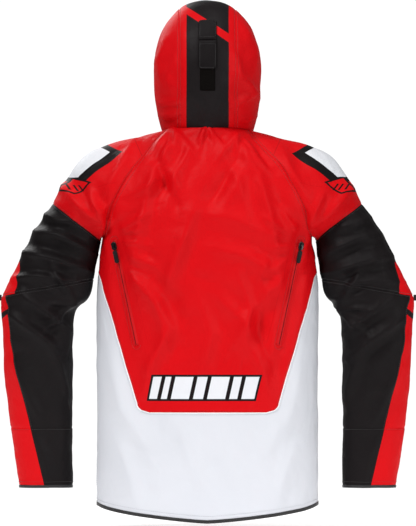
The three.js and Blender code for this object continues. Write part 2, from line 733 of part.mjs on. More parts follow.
// The shoulder bulges between the armhole and the sleeve's first loop.
const shoulderShares = [0, 0.2, 0.4, 0.6, 0.8, 1];
const topBulge = 40;
const backBulge = 14;
const shoulderPoint = (k, u) => {
  const start = armLoop[k % aroundCount];
  const end = sleeve(sleeveTurn(k), 0);
  const turn = sleeveTurn(k);
  const up = Math.max(-Math.cos(turn), 0) ** 1.5;
  const out = new THREE.Vector3(0.53 * topBulge * up, backBulge * Math.sin(turn), 0.85 * topBulge * up);
  return start.clone().lerp(end, u).addScaledVector(out, 4 * u * (1 - u));
};
const shoulderRows = shoulderShares.map((u) => range(aroundCount + 1).map((k) => shoulderPoint(k, u)));
const sleeveCore = (p) => {
  const along = range(10 * lastLoop + 1).map((i) => i / 10);
  const best = along.map((a) => sleeveMiddle(a)).sort((a, b) => a.distanceTo(p) - b.distanceTo(p))[0];
  return best;
};
const shoulderCore = (p) => {
  const line = range(11).map((i) => new THREE.Vector3(neckHalf, hoodMiddleY - 14, -0.35 * armholeDrop)
    .lerp(sleeveMiddle(0), i / 10));
  return line.sort((a, b) => a.distanceTo(p) - b.distanceTo(p))[0];
};
addPair('shoulder_panel', red, [shoulderRows], shoulderCore);
addPair('upper_sleeve', black, [[0, 0.7, 1.4, 2.2, elbowLoop].map((a) => sleeveRing(a))], sleeveCore);
addPair('elbow_section', black, [[elbowLoop, 3.6, 4.3, 5.1, elbowEnd].map((a) => sleeveRing(a))],
  sleeveCore);

// forearm: a red strip down the outside, black round the rest
const stripFrom = Math.round(0.375 * aroundCount);
const stripTo = Math.round(0.625 * aroundCount);
const forearmLoops = [elbowEnd, 6.7, 7.4, cuffLoop];
const innerPart = (a) => [
  ...sleeveRing(a, stripTo, aroundCount),
  ...sleeveRing(a, 0, stripFrom).slice(1),
];
addPair('forearm_panel', black, [forearmLoops.map(innerPart)], sleeveCore);
addPair('forearm_outer_panel', red, [forearmLoops.map((a) => sleeveRing(a, stripFrom, stripTo))],
  sleeveCore);
addPair('cuff_band', black, [[cuffLoop, cuffLoop + 0.5, lastLoop].map((a) => sleeveRing(a))],
  sleeveCore);
const cuffEdge = sleeveRing(lastLoop);
addPair('cuff_binding', trim, [[cuffEdge, cuffEdge.map((p) => dropped(p, cuffBindingHeight))]],
  sleeveCore, bindingThick);

// cuff closure on the front of the sleeve: a loop pad and a tab, laid on the band's own facets
const onCuff = (from, to) => [cuffLoop, cuffLoop + 0.5].map((a) => sleeveRing(a, from, to))
  .reduce((low, high) => [low, high].map((row, i) => row.map((p, j) => (
    p.clone().lerp([high, low][i][j], 0.18)))));
addPair('cuff_loop_pad', pad, [onCuff(15, 17)], sleeveCore, 1.4, fitGap + 1.4);
addPair('cuff_tab', black, [onCuff(16, 20)], sleeveCore, tabThick, 1.4 + 2 * fitGap + tabThick);

// ---------------------------------------------------------------- zips and small hardware

// A frame on a surface: along the zip, outward, and across.
function zipFrame(start, end, outward) {
  const along = end.clone().sub(start).normalize();
  const out = outward.clone().addScaledVector(along, -outward.dot(along)).normalize();
  const across = new THREE.Vector3().crossVectors(out, along);
  return { start, end, along, out, across, long: start.distanceTo(end) };
}

// Places a shape made with its length along Z, thickness along Y and width along X.
function placed(geometry, frame, down, lift) {
  const matrix = new THREE.Matrix4().makeBasis(frame.across, frame.out, frame.along);
  const place = frame.start.clone().addScaledVector(frame.along, down).addScaledVector(frame.out, lift);
  return geometry.applyMatrix4(matrix.setPosition(place));
}

const box = (wide, thick, long) => new THREE.BoxGeometry(wide, thick, long);

// A flat plate with round ends, its thickness along Y.
function oval(wide, thick, long) {
  const radius = wide / 2;
  const shape = new THREE.Shape();
  shape.moveTo(-radius, long / 2 - radius);
  shape.absarc(0, long / 2 - radius, radius, Math.PI, 0, true);
  shape.absarc(0, radius - long / 2, radius, 0, -Math.PI, true);
  const geometry = new THREE.ExtrudeGeometry(shape, { depth: thick, bevelEnabled: false, curveSegments: 6 });
  geometry.translate(0, 0, -thick / 2);
  return geometry.rotateX(quarter);
}

function addZipHardware(prefix, frame, material) {
  const sliderLift = zipThick / 2 + fitGap + sliderThick / 2;
  addMesh(`${prefix}_slider`, placed(oval(sliderWide, sliderThick, sliderLong), frame,
    sliderLong / 2 + 2, sliderLift), material);
  const pullLift = zipThick / 2 + fitGap + sliderThick - pullThick / 2;
  addMesh(`${prefix}_pull`, placed(oval(pullWide, pullThick, pullLong), frame,
    2 + sliderLong + fitGap + pullLong / 2, pullLift), rubber);
}

const slots = { back_panel: [], left_front_panel: [], right_front_panel: [] };

function addWeldedZip(prefix, host, start, end, out) {
  const frame = zipFrame(start, end, out);
  addMesh(`${prefix}_zip`, placed(box(zipWidth, zipThick, frame.long), frame, frame.long / 2, 0),
    zipMaterial);
  const slot = box(zipWidth + 2 * fitGap, 40, frame.long + 2 * fitGap);
  slots[host].push(toSolid(placed(slot, frame, frame.long / 2, 0)));
  addZipHardware(prefix, frame, metal);
  return frame;
}

const surfaceNormal = (point, a, b) => {
  const normal = new THREE.Vector3().subVectors(a, point).cross(new THREE.Vector3().subVectors(b, point));
  return normal.normalize();
};
function zipSpan(top, bottom, side) {
  const [start, end] = [top, bottom].map(([x, drop]) => new THREE.Vector3(x, bodyY(x, drop, side), -drop));
  const x = (top[0] + bottom[0]) / 2;
  const drop = (top[1] + bottom[1]) / 2;
  const at = (dx, dz) => new THREE.Vector3(x + dx, bodyY(x + dx, drop - dz, side), -drop + dz);
  const out = surfaceNormal(at(0, 0), at(4, 0), at(0, 4));
  if (out.y * side < 0) out.negate();
  return { start, end, out };
}
const vent = zipSpan(ventTop, ventBottom, 1);
const pocket = zipSpan(pocketTop, pocketBottom, -1);
addWeldedZip('left_vent', 'back_panel', vent.start, vent.end, vent.out);
addWeldedZip('right_vent', 'back_panel', mirror(vent.start), mirror(vent.end), mirror(vent.out));
addWeldedZip('left_pocket', 'left_front_panel', pocket.start, pocket.end, pocket.out);
addWeldedZip('right_pocket', 'right_front_panel', mirror(pocket.start), mirror(pocket.end),
  mirror(pocket.out));

// pocket bags hang behind the pocket zips
const bagDrops = range(6).map((i) => lerp(pocketTop[1] - 6, pocketBottom[1] + pocketBagBelow, i / 5));
const bagRows = bagDrops.map((drop) => {
  const u = (drop - pocketTop[1]) / (pocketBottom[1] - pocketTop[1]);
  const edge = lerp(pocketTop[0], pocketBottom[0], Math.min(Math.max(u, 0), 1)) + zipWidth;
  return range(6).map((j) => frontBack(bodyTurn(edge - pocketBagWide * j / 5, drop), drop));
});
addPair('pocket_bag', lining, [bagRows], bodyCore, bagThick, -wall - bagGap);

// front zip: two tapes in one straight line from the hem to the chin
const chin = hood(Math.PI, collarHeight);
const zipTop = new THREE.Vector3(0, frontY(-chin.z) + frontTapeThick / 2, chin.z - 1);
const zipFoot = new THREE.Vector3(0, frontY(frontLength) + frontTapeThick / 2, -frontLength);
const frontFrame = zipFrame(zipTop, zipFoot, new THREE.Vector3(0, -1, 0));
const tapeWide = frontZipHalf - fitGap - 0.2;
const tapeLong = frontFrame.long - frontBoxLong - fitGap;
for (const [prefix, way] of [['left', -1], ['right', 1]]) {
  const tape = box(tapeWide, frontTapeThick, tapeLong).translate(way * (tapeWide / 2 + 0.2), 0, 0);
  addMesh(`front_zip_${prefix}_tape`, placed(tape, frontFrame, tapeLong / 2, 0), zipMaterial);
}
addMesh('front_zip_box', placed(box(2 * tapeWide, frontTapeThick + 1, frontBoxLong), frontFrame,
  frontFrame.long - frontBoxLong / 2, 0), metal);
addMesh('front_storm_flap', placed(box(2 * flapHalf, flapThick, frontFrame.long - 4), frontFrame,
  frontFrame.long / 2, -frontTapeThick / 2 - 1.6 - flapThick / 2), lining);
const frontLift = frontTapeThick / 2 + fitGap;
addMesh('front_zip_slider', placed(oval(sliderWide + 1, sliderThick, sliderLong), frontFrame,
  sliderLong / 2 + 4, frontLift + sliderThick / 2), metal);
addMesh('front_zip_pull', placed(oval(pullWide, pullThick, pullLong + 8), frontFrame,
  4 + sliderLong + fitGap + pullLong / 2 + 4, frontLift + sliderThick - pullThick / 2), rubber);

// small tag at the outer end of each elbow seam
const tagPlace = sleeve(Math.PI, elbowLoop);
tagPlace.x = outerX(elbowLoop + 0.15);
for (const [prefix, way] of [['left', 1], ['right', -1]]) {
  const tag = new THREE.BoxGeometry(8, 2.4, 12).translate(4 + fitGap, 0, 0);
  if (way < 0) tag.rotateZ(Math.PI);
  addMesh(`${prefix}_sleeve_tag`, tag.translate(way * tagPlace.x, tagPlace.y, tagPlace.z - 4), trim);
}

// hanger loop: a strap bowed forward from the facing
const loopLevel = 4 + (facingHeight - loopTall) / 2;
const loopEnd = hood(hoodTurn(loopHalf, loopLevel), loopLevel);
const loopBack = loopEnd.y + facingLift - facingThick - 4.5 * fitGap;
const loopShape = new THREE.Shape();
const loopCorner = 0.82 * loopHalf;
loopShape.moveTo(-loopHalf, 0);
loopShape.lineTo(-loopCorner, -loopReach);
loopShape.lineTo(loopCorner, -loopReach);
loopShape.lineTo(loopHalf, 0);
loopShape.lineTo(loopHalf - 3, 0);
loopShape.lineTo(loopCorner - 1.2, -loopReach + loopThick);
loopShape.lineTo(1.2 - loopCorner, -loopReach + loopThick);
loopShape.lineTo(3 - loopHalf, 0);
const loopGeometry = new THREE.ExtrudeGeometry(loopShape, { depth: loopTall, bevelEnabled: false });
addMesh('hanger_loop', loopGeometry.translate(0, loopBack, loopLevel), trim);

// ---------------------------------------------------------------- the jacket

for (const piece of clothPieces) {
  let geometry = shellGeometry(piece);
  if (slots[piece.name]) {
    let solid = toSolid(geometry);
    for (const slot of slots[piece.name]) solid = solid.subtract(slot);
    geometry = fromSolid(solid);
  }
  addMesh(piece.name, geometry, piece.material);
}

const jacket = new THREE.Group();
jacket.add(...meshes);

export default jacket;
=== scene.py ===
# %% [markdown]
# A hooded hardshell jacket, hanging closed with its hood up and seen from behind. The imported CAD
# part is the frame: it says where every panel, zip and tab is. This script sews a finer jacket
# over it. It starts by loading the frame and keeping the size of its box.

# %% Load the frame
from functools import partial
import json
import math
import bpy
import numpy as np
from mathutils import Matrix, Vector

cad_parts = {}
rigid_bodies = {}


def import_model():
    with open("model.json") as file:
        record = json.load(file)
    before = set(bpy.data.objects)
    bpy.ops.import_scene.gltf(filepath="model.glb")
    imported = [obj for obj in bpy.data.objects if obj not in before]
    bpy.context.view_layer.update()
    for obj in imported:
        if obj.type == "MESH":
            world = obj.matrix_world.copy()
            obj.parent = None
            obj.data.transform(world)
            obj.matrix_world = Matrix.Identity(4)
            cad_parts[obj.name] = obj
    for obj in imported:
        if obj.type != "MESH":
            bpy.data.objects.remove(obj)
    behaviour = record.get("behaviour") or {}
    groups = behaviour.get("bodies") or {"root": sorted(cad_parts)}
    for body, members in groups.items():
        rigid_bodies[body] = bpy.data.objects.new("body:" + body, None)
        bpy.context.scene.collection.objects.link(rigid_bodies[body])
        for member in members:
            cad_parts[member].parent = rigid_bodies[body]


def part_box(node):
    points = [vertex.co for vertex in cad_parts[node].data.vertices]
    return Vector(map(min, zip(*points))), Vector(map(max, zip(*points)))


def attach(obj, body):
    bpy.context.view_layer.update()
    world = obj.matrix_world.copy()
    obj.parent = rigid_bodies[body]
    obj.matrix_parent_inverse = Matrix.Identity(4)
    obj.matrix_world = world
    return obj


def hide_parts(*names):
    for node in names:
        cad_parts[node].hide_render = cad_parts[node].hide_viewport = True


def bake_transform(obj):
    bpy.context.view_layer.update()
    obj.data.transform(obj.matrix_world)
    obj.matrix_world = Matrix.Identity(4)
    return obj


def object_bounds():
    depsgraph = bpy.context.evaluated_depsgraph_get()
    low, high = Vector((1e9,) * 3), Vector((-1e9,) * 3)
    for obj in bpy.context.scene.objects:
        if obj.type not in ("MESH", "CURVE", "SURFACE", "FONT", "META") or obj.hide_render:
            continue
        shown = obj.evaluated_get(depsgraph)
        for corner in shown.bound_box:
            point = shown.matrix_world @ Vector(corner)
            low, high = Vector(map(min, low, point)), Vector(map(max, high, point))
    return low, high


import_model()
cad_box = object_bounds()
print("CAD box", [[round(v, 3) for v in corner] for corner in cad_box])

# %% [markdown]
# The jacket is cut in millimetres, as a pattern maker would, and goes to metres when a mesh is
# made. These are the same driving sizes as the frame's.

# %% Sizes
MM = 0.001
BODY_HALF = 221.0
BACK_LENGTH = 782.0
SIDE_LENGTH = 748.0
FRONT_LENGTH = 733.0
BACK_HEM_OUT, BLADE_OUT, WAIST_OUT = 30.0, 45.0, 27.0
BODY_SQUARE = 2.5
NECK_HALF, NECK_DEPTH = 88.0, 199.0
FRONT_HEM_OUT = 228.0
ARMHOLE = 216.0
RAGLAN_TOP = 80.0
FOOT_INSET = 8.0
BLOCK_TOP, BLOCK_KNEE, BLOCK_BOTTOM, BLOCK_HALF = 288.0, 548.0, 568.0, 142.0
BLOCK_CORNER = 25.0
HOOD_HEIGHT, HOOD_HALF, HOOD_BACK, HOOD_BROW = 253.0, 107.0, 44.0, 115.0
COLLAR = 75.0
HOOD_SQUARE = 2.2
STRIP_HALF = 57.0
NECK_FRONT_DROP = 66.0
CUFF_DROP = 716.0
SLEEVE_SQUARE = 2.2
FRONT_ZIP_HALF = 8.0
QUARTER = math.pi / 2
SIDES = {"left": 1, "right": -1}        # the sign of x on each side


def lerp(a, b, u):
    return a + (b - a) * u


def power(value, exponent):
    return np.sign(value) * np.abs(value) ** exponent


def vec(x, y, z):
    """Points as one array, whatever mix of numbers and arrays comes in."""
    return np.stack(np.broadcast_arrays(np.asarray(x, float), y, z), axis=-1)


def through(pairs):
    """A smooth curve through (place, value) pairs."""
    place, value = np.array(pairs, float).T
    slope = np.empty(len(place))
    slope[1:-1] = (value[2:] - value[:-2]) / (place[2:] - place[:-2])
    slope[0] = (value[1] - value[0]) / (place[1] - place[0])
    slope[-1] = (value[-1] - value[-2]) / (place[-1] - place[-2])

    def at(x):
        x = np.asarray(x, float)
        i = np.clip(np.searchsorted(place, x, side="right") - 1, 0, len(place) - 2)
        wide = place[i + 1] - place[i]
        u = np.clip((x - place[i]) / wide, 0, 1)
        m0, m1 = slope[i] * wide, slope[i + 1] * wide
        y0, y1 = value[i], value[i + 1]
        bend = (2 * y0 + m0 - 2 * y1 + m1) * u**3 + (3 * y1 - 3 * y0 - 2 * m0 - m1) * u**2
        return y0 + m0 * u + bend

    return at


# %% [markdown]
# Three smooth forms carry all the cloth: the body, the hood and the sleeve. Each is a formula, so
# a panel can be sampled as finely as its folds need and neighbours still share their seams.

# %% The body form
front_slope = (FRONT_HEM_OUT - NECK_DEPTH) / (FRONT_LENGTH - NECK_FRONT_DROP)


def front_y(drop):
    return -NECK_DEPTH - (drop - NECK_FRONT_DROP) * front_slope


back_y = through([
    (0, 0), (0.28 * ARMHOLE, 0.5 * BLADE_OUT), (0.7 * ARMHOLE, 0.93 * BLADE_OUT),
    (1.16 * ARMHOLE, BLADE_OUT), (0.5 * BACK_LENGTH, lerp(BLADE_OUT, WAIST_OUT, 0.7)),
    (0.7 * BACK_LENGTH, WAIST_OUT), (BACK_LENGTH, BACK_HEM_OUT)])
half_width = through([
    (0, NECK_HALF + 2), (0.09 * ARMHOLE, NECK_HALF + 37), (0.23 * ARMHOLE, 0.79 * BODY_HALF),
    (0.37 * ARMHOLE, 0.97 * BODY_HALF), (0.51 * ARMHOLE, 1.085 * BODY_HALF),
    (0.68 * ARMHOLE, 1.115 * BODY_HALF), (0.83 * ARMHOLE, 1.05 * BODY_HALF),
    (ARMHOLE, BODY_HALF - 9), (ARMHOLE + 34, BODY_HALF - 6), (ARMHOLE + 62, BODY_HALF - 3),
    (ARMHOLE + 90, BODY_HALF - 1), (ARMHOLE + 130, BODY_HALF), (BACK_LENGTH, BODY_HALF)])


def body_y(x, drop, side):
    middle = (back_y(drop) + front_y(drop)) / 2
    depth = (back_y(drop) - front_y(drop)) / 2
    share = np.minimum(np.abs(x) / half_width(drop), 1)
    return middle + side * depth * (1 - share**BODY_SQUARE) ** (1 / BODY_SQUARE)


def body(turn, drop):
    """turn is 0 behind, a quarter at the wearer's left and half in front."""
    middle = (back_y(drop) + front_y(drop)) / 2
    depth = (back_y(drop) - front_y(drop)) / 2
    x = half_width(drop) * power(np.sin(turn), 2 / BODY_SQUARE)
    y = middle + depth * power(np.cos(turn), 2 / BODY_SQUARE)
    return vec(x, y, -np.asarray(drop, float))


def body_turn(x, drop):
    return np.arcsin(np.minimum(x / half_width(drop), 1) ** (BODY_SQUARE / 2))


# %% The hood form
hood_middle = (HOOD_BACK - NECK_DEPTH) / 2
hood_depth = (HOOD_BACK + NECK_DEPTH) / 2
hood_top = HOOD_HEIGHT + 5
hood_rise = hood_top - HOOD_BROW
hood_back_y = through([(0, 0), (0.3 * HOOD_BROW, 0.5 * HOOD_BACK),
                       (0.65 * HOOD_BROW, 0.88 * HOOD_BACK), (HOOD_BROW, HOOD_BACK)])
hood_width = through([(0, NECK_HALF), (0.3 * HOOD_BROW, lerp(NECK_HALF, HOOD_HALF, 0.55)),
                      (0.65 * HOOD_BROW, lerp(NECK_HALF, HOOD_HALF, 0.9)), (HOOD_BROW, HOOD_HALF)])
hood_front_drop = through([(0, NECK_FRONT_DROP), (COLLAR, NECK_FRONT_DROP),
                           (hood_top, 0.6 * NECK_FRONT_DROP)])


def hood_z(level, y):
    forward = np.maximum(HOOD_BACK - y, 0) / (HOOD_BACK + NECK_DEPTH)
    return level - hood_front_drop(level) * forward**3


def hood_ring(level):
    level = np.asarray(level, float)
    up = np.clip((level - HOOD_BROW) / hood_rise, 0, 1)
    shrink = (1 - up**HOOD_SQUARE) ** (1 / HOOD_SQUARE)
    back = hood_back_y(level)
    low = level <= HOOD_BROW
    half = np.where(low, hood_width(level), HOOD_HALF * shrink)
    middle = np.where(low, (back - NECK_DEPTH) / 2, hood_middle)
    depth = np.where(low, (back + NECK_DEPTH) / 2, hood_depth * shrink)
    return half, middle, depth


def hood(turn, level):
    half, middle, depth = hood_ring(level)
    x = half * power(np.sin(turn), 2 / HOOD_SQUARE)
    y = middle + depth * power(np.cos(turn), 2 / HOOD_SQUARE)
    return vec(x, y, hood_z(level, y))


def hood_turn(x, level):
    return np.arcsin(np.minimum(x / hood_ring(level)[0], 1) ** (HOOD_SQUARE / 2))


def crown(x, climb):
    """Over the top, along a line of constant x: climb is 0 behind and half a turn in front."""
    share = (1 - (np.abs(x) / HOOD_HALF) ** HOOD_SQUARE) ** (1 / HOOD_SQUARE)
    y = hood_middle + hood_depth * share * power(np.cos(climb), 2 / HOOD_SQUARE)
    level = HOOD_BROW + hood_rise * share * np.abs(np.sin(climb)) ** (2 / HOOD_SQUARE)
    return vec(x, y, hood_z(level, y))


# %% The sleeve form
# On its way to the cuff at the outer and inner edge, reach from the body's side, middle and depth.
SLEEVE = np.array([
    [0.000, 0.000, 89, -7, -88, 72], [0.110, 0.049, 130, -3, -88, 70],
    [0.234, 0.106, 164, 2, -87, 66], [0.326, 0.157, 189, 6, -86, 62],
    [0.379, 0.225, 191, 15, -87, 60], [0.440, 0.298, 190, 43, -90, 58],
    [0.511, 0.416, 188, 48, -95, 56], [0.645, 0.592, 184, 49, -108, 50],
    [0.794, 0.763, 174, 50, -120, 44], [1.000, 1.000, 157, 50, -134, 40]])
ELBOW_LOOP, CUFF_LOOP, LAST_LOOP = 3, 8, 9


def loop_value(values):
    return through(list(enumerate(values)))


outer_x = loop_value(BODY_HALF + SLEEVE[:, 2])
inner_x = loop_value(BODY_HALF + SLEEVE[:, 3])
outer_z = loop_value(-lerp(0.7 * ARMHOLE, CUFF_DROP, SLEEVE[:, 0]))
inner_z = loop_value(-lerp(ARMHOLE + 10, CUFF_DROP, SLEEVE[:, 1]))
sleeve_y = loop_value(SLEEVE[:, 4])
sleeve_deep = loop_value(SLEEVE[:, 5])


def sleeve_middle(along):
    return vec((outer_x(along) + inner_x(along)) / 2, sleeve_y(along),
               (outer_z(along) + inner_z(along)) / 2)


def sleeve(turn, along):
    """turn is 0 on the inner edge, a quarter behind and half on the outer edge."""
    across_x = (outer_x(along) - inner_x(along)) / 2
    across_z = (outer_z(along) - inner_z(along)) / 2
    round_x = -power(np.cos(turn), 2 / SLEEVE_SQUARE)
    place = sleeve_middle(along)
    y = place[..., 1] + sleeve_deep(along) * power(np.sin(turn), 2 / SLEEVE_SQUARE)
    return vec(place[..., 0] + across_x * round_x, y, place[..., 2] + across_z * round_x)


print("hood half width", HOOD_HALF, "sleeve ends at", -CUFF_DROP, "mm")

# %% [markdown]
# A panel is a list of grids of points on a form, rows by columns. Neighbouring panels take the
# same points along their seam. All the panels are listed first, because the outward direction at
# a seam is shared by the panels that meet there: a fold then crosses the seam without a step.

# %% Panels and shared directions
panels = {}


def body_core(p):
    return vec(0, hood_middle, p[..., 2])


def hood_core(p):
    return vec(0, hood_middle, np.minimum(p[..., 2], 0.4 * HOOD_HEIGHT))


core_line = sleeve_middle(np.linspace(0, LAST_LOOP, 91))


def sleeve_core(p):
    flat = p.reshape(-1, 3) * [np.sign(np.mean(p[..., 0])), 1, 1]
    nearest = np.argmin(((flat[:, None] - core_line[None]) ** 2).sum(-1), axis=1)
    return (core_line[nearest] * [np.sign(np.mean(p[..., 0])), 1, 1]).reshape(p.shape)


shoulder_line = np.array([lerp(np.array([NECK_HALF, hood_middle - 14, -0.35 * ARMHOLE]),
                               sleeve_middle(0), u) for u in np.linspace(0, 1, 21)])


def shoulder_core(p):
    side = np.sign(np.mean(p[..., 0]))
    flat = p.reshape(-1, 3) * [side, 1, 1]
    nearest = np.argmin(((flat[:, None] - shoulder_line[None]) ** 2).sum(-1), axis=1)
    return (shoulder_line[nearest] * [side, 1, 1]).reshape(p.shape)


def add_panel(name, grids, core):
    """core gives the point of the middle line that lies behind each point of the cloth."""
    panels[name] = {"grids": [np.asarray(g, float) for g in grids], "core": core}


def mirrored(grid):
    return np.asarray(grid, float) * [-1, 1, 1]


def add_pair(name, grids, core):
    add_panel(f"left_{name}", grids, core)
    add_panel(f"right_{name}", [mirrored(g) for g in grids], core)


# %% [markdown]
# The back and front panels: from the colour block's lower edge up to the underarm in rows of one
# level, then up to the neck between the raglan seams.

# %% Body panels
ACROSS = 84            # columns of the back between the raglan seams
SEAM_ROWS = 54

knee_slope = (BODY_HALF - 4 - BLOCK_HALF) / (BLOCK_KNEE - BLOCK_TOP - 6)
low_drops = np.linspace(BLOCK_BOTTOM, BLOCK_KNEE, 5)
corner_half = BLOCK_HALF - BLOCK_CORNER + BLOCK_CORNER * np.sqrt(
    1 - ((low_drops - BLOCK_KNEE) / (BLOCK_BOTTOM - BLOCK_KNEE)) ** 2)
edge_drops = np.linspace(BLOCK_KNEE, BLOCK_TOP, 56)[1:-1]
edge_half = BLOCK_HALF + (BLOCK_KNEE - edge_drops) * knee_slope
block_drops = np.concatenate([low_drops, edge_drops, [BLOCK_TOP]])
block_turns = np.concatenate([body_turn(corner_half, low_drops), body_turn(edge_half, edge_drops),
                              [QUARTER]])
side_drops_up = np.linspace(BLOCK_TOP, ARMHOLE, 16)[1:]
row_drops = np.concatenate([block_drops, side_drops_up])
row_turns = np.concatenate([block_turns, np.full(len(side_drops_up), QUARTER)])

foot_x = float(half_width(ARMHOLE)) - FOOT_INSET
foot_turn = float(body_turn(foot_x, ARMHOLE))
SIDE_COLUMNS = 6
foot_share = foot_turn / QUARTER
side_shares = np.linspace(foot_share, 1, SIDE_COLUMNS + 1)[1:]
raglan_x = through([(0, foot_x), (0.16, lerp(RAGLAN_TOP, foot_x, 0.965)),
                    (0.34, lerp(RAGLAN_TOP, foot_x, 0.85)), (0.65, lerp(RAGLAN_TOP, foot_x, 0.545)),
                    (0.91, lerp(RAGLAN_TOP, foot_x, 0.165)), (1, RAGLAN_TOP)])


def yoke(across, up, side):
    """A point above the underarm, across from -1 to 1 and up from 0 to 1 at the neck seam."""
    x = across * raglan_x(up)
    neck_x = across * RAGLAN_TOP
    turn = hood_turn(np.abs(neck_x), 0)
    neck = hood(turn if side > 0 else math.pi - turn, 0)
    drop = ARMHOLE - up * (ARMHOLE + neck[..., 2])
    free = body_y(x, drop, side)
    at_neck = body_y(neck_x, -neck[..., 2], side)
    near = np.maximum((up - 0.55) / 0.45, 0) ** 2
    return vec(x, free + near * (neck[..., 1] - at_neck), -drop)


middle_shares = np.linspace(-1, 1, ACROSS + 1)
back_shares = np.concatenate([-side_shares[::-1], middle_shares * foot_share, side_shares])
ups = np.linspace(0, 1, SEAM_ROWS + 1)


def yoke_across(share, up):
    x = half_width(ARMHOLE) * power(np.sin(np.abs(share) * foot_turn), 2 / BODY_SQUARE)
    return np.sign(share) * lerp(x / foot_x, np.abs(share), np.minimum(up * 2, 1))


back_lower = body(back_shares[None, :] * row_turns[:, None], row_drops[:, None])
back_upper = yoke(yoke_across(middle_shares[None, :], ups[:, None]), ups[:, None], 1)

FRONT_COLUMNS = 40


def front_turns(turn, drop):
    start = body_turn(FRONT_ZIP_HALF, drop)
    inner = lerp(start, turn * foot_share, np.linspace(0, 1, FRONT_COLUMNS + 1))
    return np.concatenate([inner, turn * side_shares])


def front_body(turn, drop):
    p = body(math.pi - turn, drop)
    return vec(body(turn, drop)[..., 0], p[..., 1], p[..., 2])


front_lower = np.array([front_body(front_turns(t, d), d) for d, t in zip(row_drops, row_turns)])
low_x = front_body(front_turns(QUARTER, ARMHOLE)[:FRONT_COLUMNS + 1], ARMHOLE)[:, 0]
front_rows = []
for up in ups:
    wide = lerp(FRONT_ZIP_HALF, float(raglan_x(up)), np.linspace(0, 1, FRONT_COLUMNS + 1))
    front_rows.append(yoke(lerp(low_x, wide, min(up * 2, 1)) / float(raglan_x(up)), up, -1))
front_upper = np.array(front_rows)

# %% Hem panels
hem_drop = through([(0, BACK_LENGTH), (0.42 * math.pi, SIDE_LENGTH + 3), (math.pi / 2, SIDE_LENGTH),
                    (0.75 * math.pi, lerp(SIDE_LENGTH, FRONT_LENGTH, 0.75)),
                    (math.pi, FRONT_LENGTH)])
HEM_ROWS = 42


def hem_grid(near_drops, near_turns, far_drops, far_turns):
    u = np.linspace(0, 1, HEM_ROWS + 1)[None, :]
    drop = lerp(near_drops[:, None], far_drops[:, None], u)
    return body(lerp(near_turns[:, None], far_turns[:, None], u), drop)


side_u = (block_drops - BLOCK_TOP) / (BLOCK_BOTTOM - BLOCK_TOP)
side_far = lerp(BLOCK_TOP + 6, SIDE_LENGTH, side_u)
full = np.full(len(block_drops), QUARTER)
left_leg = hem_grid(block_drops[::-1], block_turns[::-1], side_far[::-1], full)
bottom_turns = back_shares * block_turns[0]
bottom = hem_grid(np.full(len(back_shares), BLOCK_BOTTOM), bottom_turns,
                  hem_drop(np.abs(back_shares * QUARTER)), back_shares * QUARTER)[::-1]
back_hem = np.concatenate([left_leg, bottom[1:], mirrored(left_leg)[::-1][1:]])

front_near = front_turns(block_turns[0], BLOCK_BOTTOM)
front_far = front_turns(QUARTER, FRONT_LENGTH)
front_bottom = hem_grid(np.full(len(front_near), BLOCK_BOTTOM), math.pi - front_near,
                        hem_drop(math.pi - front_far), math.pi - front_far)[::-1]
front_leg = hem_grid(block_drops[::-1], math.pi - block_turns[::-1], side_far[::-1], full)
front_hem = np.concatenate([front_leg, front_bottom[1:]])

add_panel("back_panel", [back_lower, back_upper], body_core)
add_panel("back_hem_panel", [back_hem], body_core)
add_pair("front_panel", [front_lower, front_upper], body_core)
add_pair("front_hem_panel", [front_hem], body_core)
print("body rows", len(row_drops) + len(ups), "columns", len(back_shares))

# %% [markdown]
# The hood is three panels: a centre strip from the nape over the top to the brow, and two sides
# that reach from the strip round to the face opening and the front zip.

# %% Hood panels
TAB_HINGE, TAB_TOP, PAD_BOTTOM, TAB_HALF = 172.0, 212.0, 72.0, 17.5


def climb_to(level):
    return math.asin(((level - HOOD_BROW) / hood_rise) ** (HOOD_SQUARE / 2))


tab_climb = climb_to(TAB_TOP)
last_climb = math.radians(88.5)
levels = np.linspace(0, HOOD_BROW, 20)
climbs = np.concatenate([np.linspace(0, tab_climb, 13)[1:],
                         np.linspace(tab_climb, last_climb, 15)[1:]])
front_climb_end = math.pi - lerp(tab_climb, math.radians(82), 0.33)
front_climbs = math.pi - climbs[::-1]
front_climbs = front_climbs[front_climbs < front_climb_end + 0.02]
rising = np.concatenate([climbs, front_climbs])
TOP_ROW = len(levels) + len(climbs) - 1
STRIP_COUNT = len(levels) + len(rising)
FACE_ROW = 2 * TOP_ROW + 1 - (STRIP_COUNT - 1)
strip_x = np.linspace(-STRIP_HALF, STRIP_HALF, 21)
low_strip = hood(hood_turn(np.abs(strip_x)[None, :], levels[:, None]), levels[:, None])
low_strip[..., 0] = strip_x[None, :]
strip = np.concatenate([low_strip, crown(strip_x[None, :], rising[:, None])])

strip_share = (1 - (STRIP_HALF / HOOD_HALF) ** HOOD_SQUARE) ** (1 / HOOD_SQUARE)
edge_rise = hood_rise * strip_share * np.sin(rising) ** (2 / HOOD_SQUARE)
edge_level = np.concatenate([levels, HOOD_BROW + edge_rise])
edge_turn = hood_turn(STRIP_HALF, edge_level)
edge_turn[TOP_ROW + 1:] = math.pi - edge_turn[TOP_ROW + 1:]

